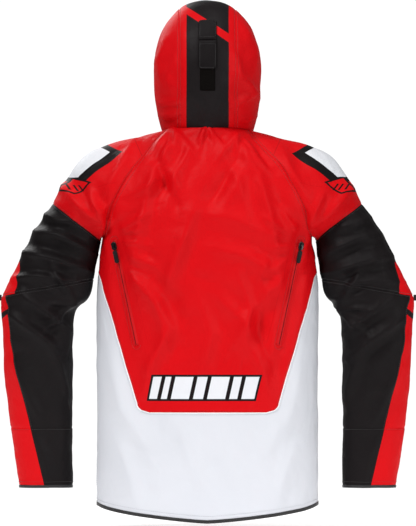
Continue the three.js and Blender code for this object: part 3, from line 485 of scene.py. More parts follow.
face_level, face_edge_turn = edge_level[-1], math.pi - edge_turn[-1]
face_turn = through([
    (COLLAR, float(hood_turn(FRONT_ZIP_HALF, COLLAR))),
    (lerp(COLLAR, face_level, 0.13), math.radians(34)),
    (lerp(COLLAR, face_level, 0.33), math.radians(50)),
    (lerp(COLLAR, face_level, 0.62), math.radians(54)),
    (lerp(COLLAR, face_level, 0.86), math.radians(47)), (face_level, face_edge_turn)])
COLLAR_ROW = 12
SIDE_HOOD_COLUMNS = 36
side_rows = []
for r in range(TOP_ROW + 1):
    if r <= COLLAR_ROW:
        far_level = COLLAR * r / COLLAR_ROW
        far_turn = math.pi - float(hood_turn(FRONT_ZIP_HALF, far_level))
    elif r < FACE_ROW:
        s = (r - COLLAR_ROW) / (FACE_ROW - COLLAR_ROW)
        far_level = lerp(COLLAR, face_level, lerp(s, s * s, 0.35))
        far_turn = math.pi - float(face_turn(far_level))
    else:
        far_level, far_turn = edge_level[2 * TOP_ROW + 1 - r], edge_turn[2 * TOP_ROW + 1 - r]
    u = np.linspace(0, 1, SIDE_HOOD_COLUMNS + 1)
    row = hood(lerp(edge_turn[r], far_turn, u), lerp(edge_level[r], far_level, u))
    row[0] = strip[r, -1]
    if r >= FACE_ROW:
        row[-1] = strip[2 * TOP_ROW + 1 - r, -1]
    side_rows.append(row)
hood_side = np.array(side_rows)
add_panel("hood_centre_panel", [strip], hood_core)
add_pair("hood_side_panel", [hood_side], hood_core)
print("hood rows", len(strip), "face opening from row", COLLAR_ROW, "to", FACE_ROW)

# %% [markdown]
# Each sleeve is a raglan shoulder that grows out of the neck and the two raglan seams, a black
# upper sleeve, and a forearm and cuff in black with a red strip that widens towards the hand.

# %% Sleeve panels
NECK_STEPS = 36
UNDER_STEPS = SIDE_COLUMNS
around = 2 * SEAM_ROWS + NECK_STEPS + 2 * UNDER_STEPS
top_turn = float(hood_turn(RAGLAN_TOP, 0))
under_back = body(np.linspace(1, foot_share, UNDER_STEPS + 1)[:-1] * QUARTER, ARMHOLE)
neck_arc = hood(np.linspace(top_turn, math.pi - top_turn, NECK_STEPS + 1)[1:-1], 0)
under_front = front_body(np.linspace(foot_share, 1, UNDER_STEPS + 1)[1:] * QUARTER, ARMHOLE)
arm_loop = np.concatenate([under_back, back_upper[:, -1], neck_arc, front_upper[::-1, -1],
                           under_front])
# The frame spreads 24 even steps round the sleeve over the same stretches of the armhole.
turns = 2 * math.pi * np.interp(
    np.arange(around + 1),
    [0, UNDER_STEPS, UNDER_STEPS + SEAM_ROWS, UNDER_STEPS + SEAM_ROWS + NECK_STEPS,
     around - UNDER_STEPS, around], [0, 2, 9, 15, 22, 24]) / 24
SHOULDER_ROWS = 44
TOP_BULGE, BACK_BULGE = 40.0, 14.0
u = np.linspace(0, 1, SHOULDER_ROWS + 1)[:, None, None]
rise = np.maximum(-np.cos(turns), 0) ** 1.5
bulge = vec(0.53 * TOP_BULGE * rise, BACK_BULGE * np.sin(turns), 0.85 * TOP_BULGE * rise)
shoulder = lerp(arm_loop[None], sleeve(turns, 0)[None], u) + bulge[None] * 4 * u * (1 - u)
add_pair("shoulder_panel", [shoulder], shoulder_core)

upper_along = np.linspace(0, ELBOW_LOOP, 44)
add_pair("upper_sleeve", [sleeve(turns[None, :], upper_along[:, None])], sleeve_core)

# Where the red strip begins behind, against the sleeve's own measure from loop to loop.
red_turn = through([(2.4, 176), (3, 160), (4, 147), (5, 142), (6, 138), (7, 121), (8, 108), (9, 92)])


def sleeve_part(alongs, low, high, columns):
    """Rows of a sleeve between two turns, each given as a function of the place along."""
    rows = []
    for along in alongs:
        rows.append(sleeve(np.linspace(low(along), high(along), columns + 1), along))
    return np.array(rows)


def red_low(along):
    return math.radians(float(red_turn(along)))


def red_high(along):
    return 2 * math.pi - red_low(along)


lower_along = np.linspace(ELBOW_LOOP, CUFF_LOOP, 104)
cuff_along = np.linspace(CUFF_LOOP, LAST_LOOP, 30)
for part, alongs in (("forearm", lower_along), ("cuff", cuff_along)):
    add_pair(f"{part}_black", [sleeve_part(alongs, lambda a: red_high(a) - 2 * math.pi, red_low, 76)],
             sleeve_core)
    add_pair(f"{part}_red", [sleeve_part(alongs, red_low, red_high, 34)], sleeve_core)
print("sleeve columns", around)

# %% [markdown]
# Cloth never hangs as the bare form. Folds are drawn as strokes, the way a tailor chalks them: a
# line on the back or the front of the garment with a height and a width. Each stroke raises a
# ridge with a shallow valley beside it, and fades out at its ends. A little slow, wavy noise goes
# on top. Everything is a formula of place, so the folds are the same in every run.

# %% Fold strokes
def smooth(value, low, high):
    u = np.clip((value - low) / (high - low), 0, 1)
    return u * u * (3 - 2 * u)


FOLD_SCALE = 2.9
back_strokes, front_strokes = [], []


def stroke(where, points, height, width, both=False, valley=0.55):
    """points are (x, z) in mm. both adds the mirror image, a little different as cloth is."""
    where.append((np.array(points, float), height, width, valley))
    if both:
        moved = np.array(points, float) * [-1, 1] + [5, -9]
        where.append((moved, 0.85 * height, 1.1 * width, valley))


def strokes(where, rows, **how):
    """Several strokes, each a row of height, width and points."""
    for height, width, points in rows:
        stroke(where, points, height, width, **how)


def fan(where, centre, first, last, count, near, far, height, width, both=True):
    """Strokes that spread from one strained place."""
    for k in range(count):
        angle = math.radians(lerp(first, last, k / max(count - 1, 1)) + 7 * math.sin(5.1 * k))
        a, b = near * (1 + 0.3 * math.sin(2.3 * k)), far * (1 + 0.25 * math.sin(4.7 * k + 1))
        ends = [(centre[0] + r * math.cos(angle), centre[1] + r * math.sin(angle)) for r in (a, b)]
        stroke(where, ends, height * (1 + 0.35 * math.sin(3.7 * k)), width, both)


# the body behind
strokes(back_strokes, [
    (4.0, 17, [(58, -12), (104, -86), (128, -170), (146, -262)]),
    (2.4, 15, [(30, -30), (64, -96), (84, -160)]),
], both=True)
stroke(back_strokes, [(24, -160), (50, -224), (82, -318)], 4.2, 20)
stroke(back_strokes, [(22, -166), (-50, -180), (-130, -214)], 2.4, 20, valley=0.3)
stroke(back_strokes, [(-18, -240), (-80, -258), (-150, -300)], 3.0, 17)
stroke(back_strokes, [(102, -50), (88, -104), (62, -158)], -3.6, 13, valley=0.7)
stroke(back_strokes, [(-58, -58), (-34, -104), (-2, -160)], -4.0, 18, valley=0.6)
strokes(back_strokes, [
    (2.6, 13, [(84, -84), (112, -118), (150, -134)]),
    (2.6, 10, [(-84, -48), (-100, -66), (-122, -84)]),
    (2.8, 11, [(-148, -166), (-164, -192), (-190, -218)]),
    (2.6, 11, [(160, -238), (134, -262), (104, -278)]),
    (2.8, 9, [(236, -134), (226, -152), (212, -168)]),
])
fan(back_strokes, (0, 10), 238, 302, 7, 10, 48, 1.5, 6, both=False)
strokes(back_strokes, [
    (2.6, 16, [(118, -300), (92, -380), (74, -470)]),
    (2.8, 16, [(-60, -290), (-84, -360), (-70, -450)]),
    (2.4, 18, [(20, -330), (-6, -410), (10, -480)]),
], valley=0.7)
stroke(back_strokes, [(-120, -250), (-104, -300), (-120, -352)], 2.2, 12)
strokes(back_strokes, [
    (3.2, 18, [(150, -300), (96, -352), (60, -420)]),
    (3.4, 17, [(72, -396), (112, -470), (128, -530)]),
], both=True)
stroke(back_strokes, [(-10, -330), (-70, -380), (-120, -470)], 3.0, 18)
stroke(back_strokes, [(190, -240), (164, -286), (120, -318)], 2.6, 13, both=True)
fan(back_strokes, (205, -222), 150, 235, 5, 18, 88, 2.4, 10)
fan(back_strokes, (66, 4), 236, 300, 5, 10, 62, 1.8, 8)
# the white panel behind
stroke(back_strokes, [(196, -430), (168, -560), (120, -640)], 2.6, 26, both=True)
stroke(back_strokes, [(60, -590), (20, -690), (-30, -760)], 1.8, 24)
stroke(back_strokes, [(180, -620), (150, -700), (140, -760)], 1.8, 20, both=True)
# shoulders and sleeves behind
strokes(back_strokes, [
    (4.2, 15, [(298, -108), (258, -150), (222, -184)]),
    (3.2, 12, [(236, -120), (216, -162), (204, -206)]),
    (3.0, 15, [(150, -28), (170, -80), (196, -120)]),
    (4.4, 12, [(352, -206), (300, -214), (236, -244)]),
    (4.6, 12, [(376, -246), (320, -258), (244, -280)]),
    (3.0, 11, [(330, -170), (300, -186), (270, -190)]),
    (3.2, 10, [(396, -300), (340, -296), (262, -306)]),
    (4.4, 13, [(372, -330), (320, -368), (276, -404)]),
    (4.0, 13, [(392, -372), (340, -410), (286, -452)]),
    (3.2, 12, [(318, -430), (296, -476), (280, -540)]),
    (2.6, 14, [(384, -470), (356, -540), (330, -590)]),
    (2.0, 14, [(352, -600), (330, -650), (320, -700)]),
], both=True)
fan(back_strokes, (262, -352), -40, 50, 5, 6, 72, 2.4, 8)
# the front
strokes(front_strokes, [
    (3.2, 17, [(40, -120), (96, -170), (160, -230)]),
    (3.6, 18, [(150, -120), (120, -210), (90, -300)]),
    (3.4, 18, [(200, -300), (150, -350), (70, -380)]),
    (2.8, 20, [(190, -480), (120, -560), (40, -600)]),
    (2.0, 20, [(160, -640), (110, -680), (60, -720)]),
], both=True)
fan(front_strokes, (206, -224), 150, 235, 5, 18, 84, 2.4, 10)
fan(front_strokes, (262, -342), -40, 50, 6, 6, 76, 2.8, 9)
strokes(front_strokes, [
    (3.8, 15, [(300, -110), (256, -150), (224, -190)]),
    (4.2, 12, [(370, -240), (320, -262), (244, -270)]),
    (4.2, 13, [(384, -350), (330, -396), (284, -430)]),
    (2.6, 13, [(370, -470), (330, -540), (300, -590)]),
], both=True)
# the hood
strokes(back_strokes, [
    (2.6, 6, [(54, 30), (76, 22), (98, 24)]),
    (2.0, 7, [(52, 52), (74, 46), (100, 50)]),
    (2.8, 6, [(-58, 14), (-80, 18), (-100, 26)]),
    (2.6, 8, [(-56, 44), (-74, 56), (-94, 70)]),
    (3.0, 9, [(-58, 108), (-82, 84), (-106, 54)]),
    (2.0, 9, [(-52, 148), (-62, 124), (-64, 98)]),
    (1.8, 9, [(26, 66), (8, 42), (12, 12)]),
    (1.6, 8, [(-30, 60), (-16, 36), (-24, 10)]),
    (2.2, 12, [(84, 178), (96, 130), (90, 80)]),
    (2.2, 12, [(-70, 206), (-92, 160), (-96, 120)]),
    (1.6, 9, [(66, 132), (80, 104), (72, 70)]),
], valley=0.2)
print(len(back_strokes), "strokes behind,", len(front_strokes), "in front")


# %% The folds as one field
def stroke_height(x, z, points, height, width, valley):
    """Raised along the line, hollow beside it, and gone past its ends."""
    spans = np.linalg.norm(np.diff(points, axis=0), axis=1)
    starts = np.concatenate([[0], np.cumsum(spans)])
    best = np.full(x.shape, 1e9)
    signed, place = np.zeros(x.shape), np.zeros(x.shape)
    for k, span in enumerate(spans):
        (ax, az), (bx, bz) = points[k], points[k + 1]
        dx, dz = (bx - ax) / span, (bz - az) / span
        t = np.clip((x - ax) * dx + (z - az) * dz, 0, span)
        ox, oz = x - ax - t * dx, z - az - t * dz
        distance = np.hypot(ox, oz)
        nearer = distance < best
        best = np.where(nearer, distance, best)
        signed = np.where(nearer, ox * dz - oz * dx, signed)
        place = np.where(nearer, (starts[k] + t) / starts[-1], place)
    taper = np.sin(math.pi * np.clip(0.08 + 0.84 * place, 0, 1)) ** 0.8
    d = best * np.where(signed < 0, -1, 1) / width
    ridge = 0.6 * np.exp(-d * d) + 0.4 * np.exp(-((d / 0.45) ** 2))
    return FOLD_SCALE * height * taper * (ridge - valley * np.exp(-((d - 1.4) ** 2)))


def waves(p, long, turn, phase):
    """Slow wandering noise from crossed, warped waves."""
    x, y, z = p.T / long
    c, s = math.cos(turn), math.sin(turn)
    a, b = c * (x + y) + s * z, -s * (x + y) + c * z
    return np.sin(6.28 * a + 2.1 * np.sin(4.1 * b + phase)) * np.cos(5.3 * b + 1.7 * np.sin(3.3 * a))


# height, distance from the middle, level and spread, in mm, of each soft rise or hollow
SHOULDER_SHAPE = ((9.0, 230, -74, 33.0), (-3.5, 144, -8, 26.0))
NECK_FLOOR, FREE_DEPTH = 0.6, 18
BELOW_FACING, ABOVE_FACING = (6, 40), (48, 84)     # where the floor goes from its neck level to free


def folds(p, n):
    """How far the cloth stands off the plain form, in mm, at points p with outward normals n."""
    x, z = p[:, 0], p[:, 2]
    behind = smooth(n[:, 1], -0.25, 0.35)
    ahead = smooth(-n[:, 1], -0.1, 0.45)
    rise = np.zeros(len(p))
    for part, strokes in ((behind, back_strokes), (ahead, front_strokes)):
        on = part > 0.001
        total = np.zeros(on.sum())
        for points, height, width, valley in strokes:
            low, high = points.min(0) - 3.2 * width, points.max(0) + 3.2 * width
            xo, zo = x[on], z[on]
            near = (xo > low[0]) & (xo < high[0]) & (zo > low[1]) & (zo < high[1])
            if near.any():
                total[near] += stroke_height(xo[near], zo[near], points, height, width, valley)
        rise[on] += part[on] * total
    slow = 0.9 * waves(p, 150, 0.5, 0.3) + 0.5 * waves(p, 74, 1.2, 2.0) + 0.2 * waves(p, 33, 2.2, 4.0)
    shoulder = sum(height * np.exp(-((np.abs(x) - across) ** 2 + (z - level) ** 2) / (2 * spread ** 2))
                   for height, across, level, spread in SHOULDER_SHAPE)
    # nothing sinks into the facing that is sewn inside the neck
    floor_level = NECK_FLOOR - FREE_DEPTH * (smooth(-z, *BELOW_FACING) + smooth(z, *ABOVE_FACING))
    return np.maximum(rise + slow + shoulder, floor_level)


# %% [markdown]
# A zip is stiff. Near one the cloth loses its folds and lies flat against the tape. The ends of
# each zip's straight line are given below, read off the frame, which has a bar where each one runs.

# %% Zip lines from the frame
def lowest_and_highest(node):
    return [np.array(corner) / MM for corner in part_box(node)]


VENT_TOP, VENT_BOTTOM = (186.0, 226.0), (142.0, 432.0)
POCKET_TOP, POCKET_BOTTOM = (164.0, 372.0), (122.0, 536.0)


def zip_span(top, bottom, side):
    """Start, end, and the directions along, out and across, of a zip on the left."""
    ends = [np.array([x, float(body_y(x, d, side)), -d]) for x, d in (top, bottom)]
    x, d = (top[0] + bottom[0]) / 2, (top[1] + bottom[1]) / 2
    here, right, up = [np.array([a, float(body_y(a, b, side)), -b]) for a, b in
                       ((x, d), (x + 4, d), (x, d - 4))]
    out = np.cross(right - here, up - here)
    out *= np.sign(out[1] * side)
    along = ends[1] - ends[0]
    along /= np.linalg.norm(along)
    out -= along * out.dot(along)
    out /= np.linalg.norm(out)
    return {"start": ends[0], "end": ends[1], "along": along, "out": out,
            "across": np.cross(out, along), "long": float(np.linalg.norm(ends[1] - ends[0]))}


def other_side(zip_line):
    turned = {k: v * [-1, 1, 1] for k, v in zip_line.items() if k != "long"}
    turned["across"] = np.cross(turned["out"], turned["along"])
    return {**turned, "long": zip_line["long"]}


vent_zip = zip_span(VENT_TOP, VENT_BOTTOM, 1)
pocket_zip = zip_span(POCKET_TOP, POCKET_BOTTOM, -1)
zips = {"left_vent": vent_zip, "right_vent": other_side(vent_zip),
        "left_pocket": pocket_zip, "right_pocket": other_side(pocket_zip)}
ZIP_BED = -1.2         # the cloth under a zip lies this far behind the tape's middle


def lie_flat(p, n, rise):
    """Brings the cloth near each zip down to the tape, and calms the folds around it."""
    for line in zips.values():
        away = p - line["start"]
        t = np.clip(away @ line["along"], -4, line["long"] + 4)
        away = away - t[:, None] * line["along"]
        height = away @ line["out"]
        side = np.linalg.norm(away - height[:, None] * line["out"], axis=1)
        facing = n @ line["out"]
        share = (1 - smooth(side, 9, 34)) * (facing > 0.5) * (np.abs(height) < 30)
        wanted = (ZIP_BED - height) / np.maximum(facing, 0.5)
        rise = lerp(rise, wanted, share)
    centre = np.abs(p[:, 0]) < 60
    calm = np.where(centre & (n[:, 1] < 0) & (p[:, 2] < 40), smooth(np.abs(p[:, 0]), 8, 44), 1)
    return rise * calm


# %% Weld, displace and share directions
def weld(grids):
    """One list of points and faces from grids that touch, with each grid's point numbers."""
    points, owner, faces, numbers = [], {}, [], []
    for grid in grids:
        keys = np.round(grid * 50).astype(np.int64)
        number = np.empty(grid.shape[:2], int)
        for r in range(grid.shape[0]):
            for c in range(grid.shape[1]):
                key = keys[r, c].tobytes()
                if key not in owner:
                    owner[key] = len(points)
                    points.append(grid[r, c])
                number[r, c] = owner[key]
        numbers.append(number)
        a, b, c, d = number[:-1, :-1], number[:-1, 1:], number[1:, 1:], number[1:, :-1]
        faces += np.stack([a, b, c, d], -1).reshape(-1, 4).tolist()
    tidy = []
    for face in faces:
        ring = [v for i, v in enumerate(face) if v != face[i - 1]]
        if len(set(ring)) > 2:
            tidy.append(ring)
    return np.array(points), tidy, numbers


def face_normals(points, faces):
    """Area-weighted, from the two diagonals."""
    corners = np.array([f if len(f) == 4 else [f[0], f[1], f[2], f[2]] for f in faces])
    return np.cross(points[corners[:, 2]] - points[corners[:, 0]],
                    points[corners[:, 3]] - points[corners[:, 1]]), corners


for name, panel in panels.items():
    points, faces, numbers = weld(panel["grids"])
    normals, corners = face_normals(points, faces)
    centres = points[corners].mean(1)
    if ((centres - panel["core"](centres)) * normals).sum() < 0:
        faces = [face[::-1] for face in faces]
        normals, corners = -normals, corners[:, ::-1]
    panel.update(points=points, faces=faces, numbers=numbers, normals=normals, corners=corners)
    counts = {}
    for face in faces:
        for i, v in enumerate(face):
            edge = (v, face[i - 1]) if v < face[i - 1] else (face[i - 1], v)
            counts[edge] = counts.get(edge, 0) + 1
    rim = [edge for edge, count in counts.items() if count == 1]
    on_rim = np.zeros(len(points))
    on_rim[np.unique(rim)] = 1
    panel["rim"] = {frozenset(edge) for edge in rim}
    panel["groove"] = on_rim

every = np.concatenate([p["points"] for p in panels.values()])
keys, inverse = np.unique(np.round(every * 50).astype(np.int64), axis=0, return_inverse=True)
inverse = inverse.reshape(-1)
shared = np.zeros((len(keys), 3))
groove = np.zeros(len(keys))
place = np.zeros((len(keys), 3))
place[inverse] = every
start = 0
for panel in panels.values():
    own = inverse[start:start + len(panel["points"])]
    start += len(own)
    panel["own"] = own
    for k in range(4):
        np.add.at(shared, own[panel["corners"][:, k]], panel["normals"])
    np.maximum.at(groove, own, panel["groove"])
shared /= np.maximum(np.linalg.norm(shared, axis=1, keepdims=True), 1e-9)
SEAM_DEPTH = 1.0
rise = lie_flat(place, shared, folds(place, shared)) - SEAM_DEPTH * groove
moved = place + shared * rise[:, None]
for panel in panels.values():
    panel["cloth"] = moved[panel["own"]]
    panel["out"] = shared[panel["own"]]
print("cloth points", len(keys), "highest fold", round(float(rise.max()), 1), "mm")

# %% [markdown]
# The shell fabric is a plain-woven synthetic with a satin face. Its colour wanders a little, partly
# as a random tone and partly as painted sheen, the lighter and darker red that satin shows in light.
# Its weave shows close up, and small creases catch the light. Every fabric is built by one recipe so
# that they look like one garment. The recipe reads where a point lay before it was folded or
# bent, kept on the mesh as "rest", so the patterns stay sewn to the cloth when a sleeve moves.

# %% Colours and the fabric recipe
def colour(r, g, b):
    """From the usual 0 to 255 screen values to the linear ones that shaders use."""
    linear = [c / 12.92 if c <= 0.04045 else ((c + 0.055) / 1.055) ** 2.4
              for c in (r / 255, g / 255, b / 255)]
    return (*linear, 1.0)


# each fabric's light and deep colour are the ends of its wandering tone, which is partly painted sheen
RED, RED_DEEP = colour(217, 10, 19), colour(200, 4, 13)
BLACK, BLACK_DEEP = colour(27, 23, 24), colour(17, 14, 15)
WHITE, WHITE_DEEP = colour(222, 224, 230), colour(208, 211, 218)
PRINT_WHITE, PRINT_BLACK = colour(226, 228, 233), colour(22, 19, 20)
THREAD_RED, THREAD_BLACK = colour(182, 7, 14), colour(16, 15, 16)


class Recipe:
    """A material with short ways to add and join nodes."""

    def __init__(self, name):
        self.material = bpy.data.materials.new(name)
        self.material.use_nodes = True
        self.tree = self.material.node_tree
        self.tree.nodes.clear()
        self.shader = self.add("ShaderNodeBsdfPrincipled")
        output = self.add("ShaderNodeOutputMaterial")
        self.join(self.shader.outputs[0], output.inputs[0])

    def add(self, kind, **settings):
        node = self.tree.nodes.new(kind)
        for key, value in settings.items():
            setattr(node, key, value)
        return node

    def join(self, source, target):
        self.tree.links.new(source, target)

    def put(self, target, value):
        if hasattr(value, "links"):
            self.join(value, target)
        else:
            target.default_value = value

    def math(self, operation, a, b=0.0, clamp=False):
        node = self.add("ShaderNodeMath", operation=operation, use_clamp=clamp)
        self.put(node.inputs[0], a)
        self.put(node.inputs[1], b)
        return node.outputs[0]

    def mix(self, share, a, b):
        node = self.add("ShaderNodeMix", data_type="RGBA")
        self.put(node.inputs[0], share)
        self.put(node.inputs[6], a)
        self.put(node.inputs[7], b)
        return node.outputs[2]

    def rest(self):
        return self.add("ShaderNodeAttribute", attribute_name="rest").outputs["Vector"]

    def objects(self):
        return self.add("ShaderNodeTexCoord").outputs["Object"]

    def noise(self, vector, scale, detail=3.0, rough=0.5):
        node = self.add("ShaderNodeTexNoise")
        self.join(vector, node.inputs["Vector"])
        node.inputs["Scale"].default_value = scale
        node.inputs["Detail"].default_value = detail
        node.inputs["Roughness"].default_value = rough
        return node.outputs["Fac"]

    def wave(self, vector, scale, direction):
        node = self.add("ShaderNodeTexWave", bands_direction=direction)
        self.join(vector, node.inputs["Vector"])
        node.inputs["Scale"].default_value = scale
        return node.outputs["Fac"]

    def bump(self, height, strength, distance, under=None):
        node = self.add("ShaderNodeBump")
        self.join(height, node.inputs["Height"])
        node.inputs["Strength"].default_value = strength
        node.inputs["Distance"].default_value = distance
        if under:
            self.join(under, node.inputs["Normal"])
        return node.outputs[0]

    def finish(self, **sockets):
        for key, value in sockets.items():
            self.put(self.shader.inputs[key.replace("_", " ")], value)
        return self.material


WEAVE_PITCH = 0.0009


def fabric(name, light, deep, roughness, prints=None, gloss=0.09, crease=0.5):
    """Colour that wanders, partly as a random tone and partly as painted sheen; weave and creases.
    prints may lay more colours on top, and on the back and shoulders thin lines of painted shade.
    """
    r = Recipe(name)
    rest = r.rest()
    # the colour wanders between the deep and the light tone: partly random tone, partly painted sheen of
    # the satin
    tone_and_sheen_drift = r.noise(rest, 5.0, 2.0)
    base = r.mix(tone_and_sheen_drift, deep, light)
    cut = r.add("ShaderNodeUVMap", uv_map="pattern").outputs[0]
    threads = r.math("MULTIPLY", r.wave(cut, 1 / (6.3 * WEAVE_PITCH), "X"),
                     r.wave(cut, 1 / (6.3 * WEAVE_PITCH), "Y"))
    base = r.mix(r.math("MULTIPLY", threads, 0.10), base, deep)
    if prints:
        base = prints(r, rest, base)
    creases = r.noise(rest, 26.0, 4.0, 0.55)
    normal = r.bump(creases, crease, 0.006)
    normal = r.bump(threads, 0.25, 0.00025, normal)
    rough = r.math("ADD", roughness - 0.06, r.math("MULTIPLY", tone_and_sheen_drift, 0.12))
    return r.finish(Base_Color=base, Normal=normal, Roughness=rough, Specular_IOR_Level=gloss)


# %% Printed shapes
def line_side(r, rest, a, b):
    """Metres to the left of the line from a to b, both (x, z) in mm."""
    (ax, az), (bx, bz) = a, b
    long = math.hypot(bx - ax, bz - az)
    nx, nz = -(bz - az) / long, (bx - ax) / long
    dot = r.add("ShaderNodeVectorMath", operation="DOT_PRODUCT")
    r.join(rest, dot.inputs[0])
    dot.inputs[1].default_value = (nx, 0, nz)
    return r.math("SUBTRACT", dot.outputs["Value"], (nx * ax + nz * az) * MM)


def inside(r, rest, corners):
    """How far inside a convex shape, in metres; corners run anticlockwise as (x, z) in mm."""
    depth = None
    for a, b in zip(corners, corners[1:] + corners[:1]):
        side = line_side(r, rest, a, b)
        depth = side if depth is None else r.math("MINIMUM", depth, side)
    return depth


def cover(r, depth, grow=0.0):
    """1 inside, 0 outside, with a soft edge of a fraction of a millimetre."""
    return r.math("MULTIPLY", r.math("ADD", depth, grow * MM + 0.0003), 1 / 0.0006, clamp=True)


def widest(r, depths):
    total = depths[0]
    for depth in depths[1:]:
        total = r.math("MAXIMUM", total, depth)
    return total


def split(r, rest):
    node = r.add("ShaderNodeSeparateXYZ")
    r.join(rest, node.inputs[0])
    return node.outputs


def both_sides(r, rest):
    """The same place with x always positive, so that one drawing serves left and right."""
    x, y, z = split(r, rest)
    node = r.add("ShaderNodeCombineXYZ")
    r.join(r.math("ABSOLUTE", x), node.inputs[0])
    r.join(y, node.inputs[1])
    r.join(z, node.inputs[2])
    return node.outputs[0]


def ink_and_shade_line(r, rest, base, a, b, wide, ink):
    """A thin line drawn in one colour, such as painted shade along a dart or along the edge of a facing
    inside.
    """
    (ax, az), (bx, bz) = a, b
    long = math.hypot(bx - ax, bz - az)
    ox, oz = -(bz - az) / long * wide / 2, (bx - ax) / long * wide / 2
    corners = [(ax - ox, az - oz), (bx - ox, bz - oz), (bx + ox, bz + oz), (ax + ox, az + oz)]
    return r.mix(cover(r, inside(r, rest, corners)), base, ink)


def behind_only(r, rest, mask, least_y):
    y = split(r, rest)[1]
    return r.math("MULTIPLY", mask, r.math("GREATER_THAN", y, least_y * MM))


# %% The prints of this jacket, and thin lines of painted shade
def shoulder_prints_and_shade(r, rest, base):
    """A white wedge in a black outline over each shoulder, with a small barred label below, a line
    in thread red, and a thin line of painted shade.
    """
    mirror = both_sides(r, rest)
    base = ink_and_shade_line(r, mirror, base, (148, -17), (131, -55), 1.6, THREAD_RED)
    # a thin line of painted shade, in the deep red
    base = ink_and_shade_line(r, mirror, base, (182, -112), (228, -121), 1.2, RED_DEEP)
    outline = cover(r, inside(r, mirror, [(240, -16), (168, -51), (197, -77), (243, -110), (310, -107)]))
    label = inside(r, mirror, [(270, -99), (229, -111), (263, -135), (297, -128)])
    wedge = cover(r, inside(r, mirror, [(232, -33), (193, -52), (214, -71), (256, -101), (296, -98)]))
    on = behind_only(r, rest, r.math("MAXIMUM", outline, cover(r, label)), -96)
    base = r.mix(on, base, PRINT_BLACK)
    base = r.mix(behind_only(r, rest, wedge, -92), base, PRINT_WHITE)
    base = r.mix(behind_only(r, rest, cover(r, label, -3.2), -96), base, RED)
    bars = [inside(r, mirror, [(x - 2, -114), (x - 2 - 9, -126), (x + 2 - 9, -126), (x + 2, -114)])
            for x in (258, 268, 280)]
    return r.mix(behind_only(r, rest, cover(r, widest(r, bars)), -96), base, PRINT_BLACK)


def back_prints_and_shade(r, rest, base):
    """Slanted bars low on the back, and a faint line of painted shade where a facing is sewn inside."""
    mirror = both_sides(r, rest)
    # a faint line of painted shade, in the deep red, where the facing is sewn inside
    base = ink_and_shade_line(r, mirror, base, (166, -240), (118, -430), 1.1, RED_DEEP)
    y = split(r, rest)[1]
    lean = 0.22
    along = r.add("ShaderNodeVectorMath", operation="DOT_PRODUCT")
    r.join(rest, along.inputs[0])
    along.inputs[1].default_value = (1, 0, lean)
    place = r.math("ADD", along.outputs["Value"], lean * 516 * MM)
    z = split(r, rest)[2]
    tall = r.math("MINIMUM", r.math("SUBTRACT", z, -0.540), r.math("SUBTRACT", -0.496, z))
    bars = []
    for low, high in ((96, 112), (76, 88), (32, 68), (4, 24), (-40, -4), (-64, -48), (-98, -72)):
        width = r.math("MINIMUM", r.math("SUBTRACT", place, low * MM),
                       r.math("SUBTRACT", high * MM, place))
        bars.append(r.math("MINIMUM", width, tall))
    depth = widest(r, bars)
    back = r.math("GREATER_THAN", y, 0.0)
    base = r.mix(r.math("MULTIPLY", cover(r, depth, 4.2), back), base, PRINT_BLACK)
    return r.mix(r.math("MULTIPLY", cover(r, depth), back), base, PRINT_WHITE)


def hood_prints(r, rest, base):
    """A black stripe down the middle with a red slash across it, low on the crown."""
    mirror = both_sides(r, rest)
    x = split(r, mirror)[0]
    stripe = cover(r, r.math("SUBTRACT", 0.042, x))
    slash = cover(r, inside(r, rest, [(46, 228), (46, 243), (-50, 180), (-50, 162)]))
    slash = behind_only(r, rest, slash, -70)
    return r.mix(r.math("MULTIPLY", stripe, r.math("SUBTRACT", 1.0, slash)), base, BLACK)


def upper_sleeve_prints(r, rest, base):
    """The red strip starts at the outer edge a little above the elbow seam."""
    mirror = both_sides(r, rest)
    strip = cover(r, inside(r, mirror, [(387, -345), (440, -345), (440, -236), (370, -236)]))
    slash = cover(r, inside(r, mirror, [(368, -262), (430, -308), (430, -296), (368, -250)]))
    base = r.mix(strip, base, RED)
    return r.mix(slash, base, BLACK)


def red_sleeve_prints(r, rest, base):
    """Two black slashes across the red strip above the elbow."""
    mirror = both_sides(r, rest)
    slashes = [inside(r, mirror, [(384, -350), (384, -362), (430, -396), (430, -384)]),
               inside(r, mirror, [(372, -268), (430, -300), (430, -312), (372, -280)][::-1])]
    return r.mix(cover(r, widest(r, slashes)), base, BLACK)


red_shell = fabric("red shell fabric", RED, RED_DEEP, 0.50)
red_back = fabric("red back fabric", RED, RED_DEEP, 0.50, back_prints_and_shade)
red_shoulder = fabric("red shoulder fabric", RED, RED_DEEP, 0.50, shoulder_prints_and_shade)
red_sleeve = fabric("red sleeve fabric", RED, RED_DEEP, 0.50, red_sleeve_prints)
striped_hood = fabric("striped hood fabric", RED, RED_DEEP, 0.50, hood_prints)
black_shell = fabric("black shell fabric", BLACK, BLACK_DEEP, 0.52)
black_upper = fabric("black upper sleeve fabric", BLACK, BLACK_DEEP, 0.52, upper_sleeve_prints)
white_shell = fabric("white shell fabric", WHITE, WHITE_DEEP, 0.55, gloss=0.2, crease=0.2)
print(len(bpy.data.materials), "materials so far")


# %% Lining, trim, thread, pile, zip, metal and rubber
def lining_fabric():
    """A fine mesh lining: rows of small holes over a dark knit."""
    r = Recipe("mesh lining")
    cells = r.add("ShaderNodeTexVoronoi")
    r.join(r.rest(), cells.inputs["Vector"])
    cells.inputs["Scale"].default_value = 420.0
    hole = r.math("LESS_THAN", cells.outputs["Distance"], 0.28)
    base = r.mix(hole, colour(52, 52, 55), colour(20, 20, 21))
    normal = r.bump(cells.outputs["Distance"], 0.5, 0.0006)
    return r.finish(Base_Color=base, Normal=normal, Roughness=0.85, Sheen_Weight=0.2)


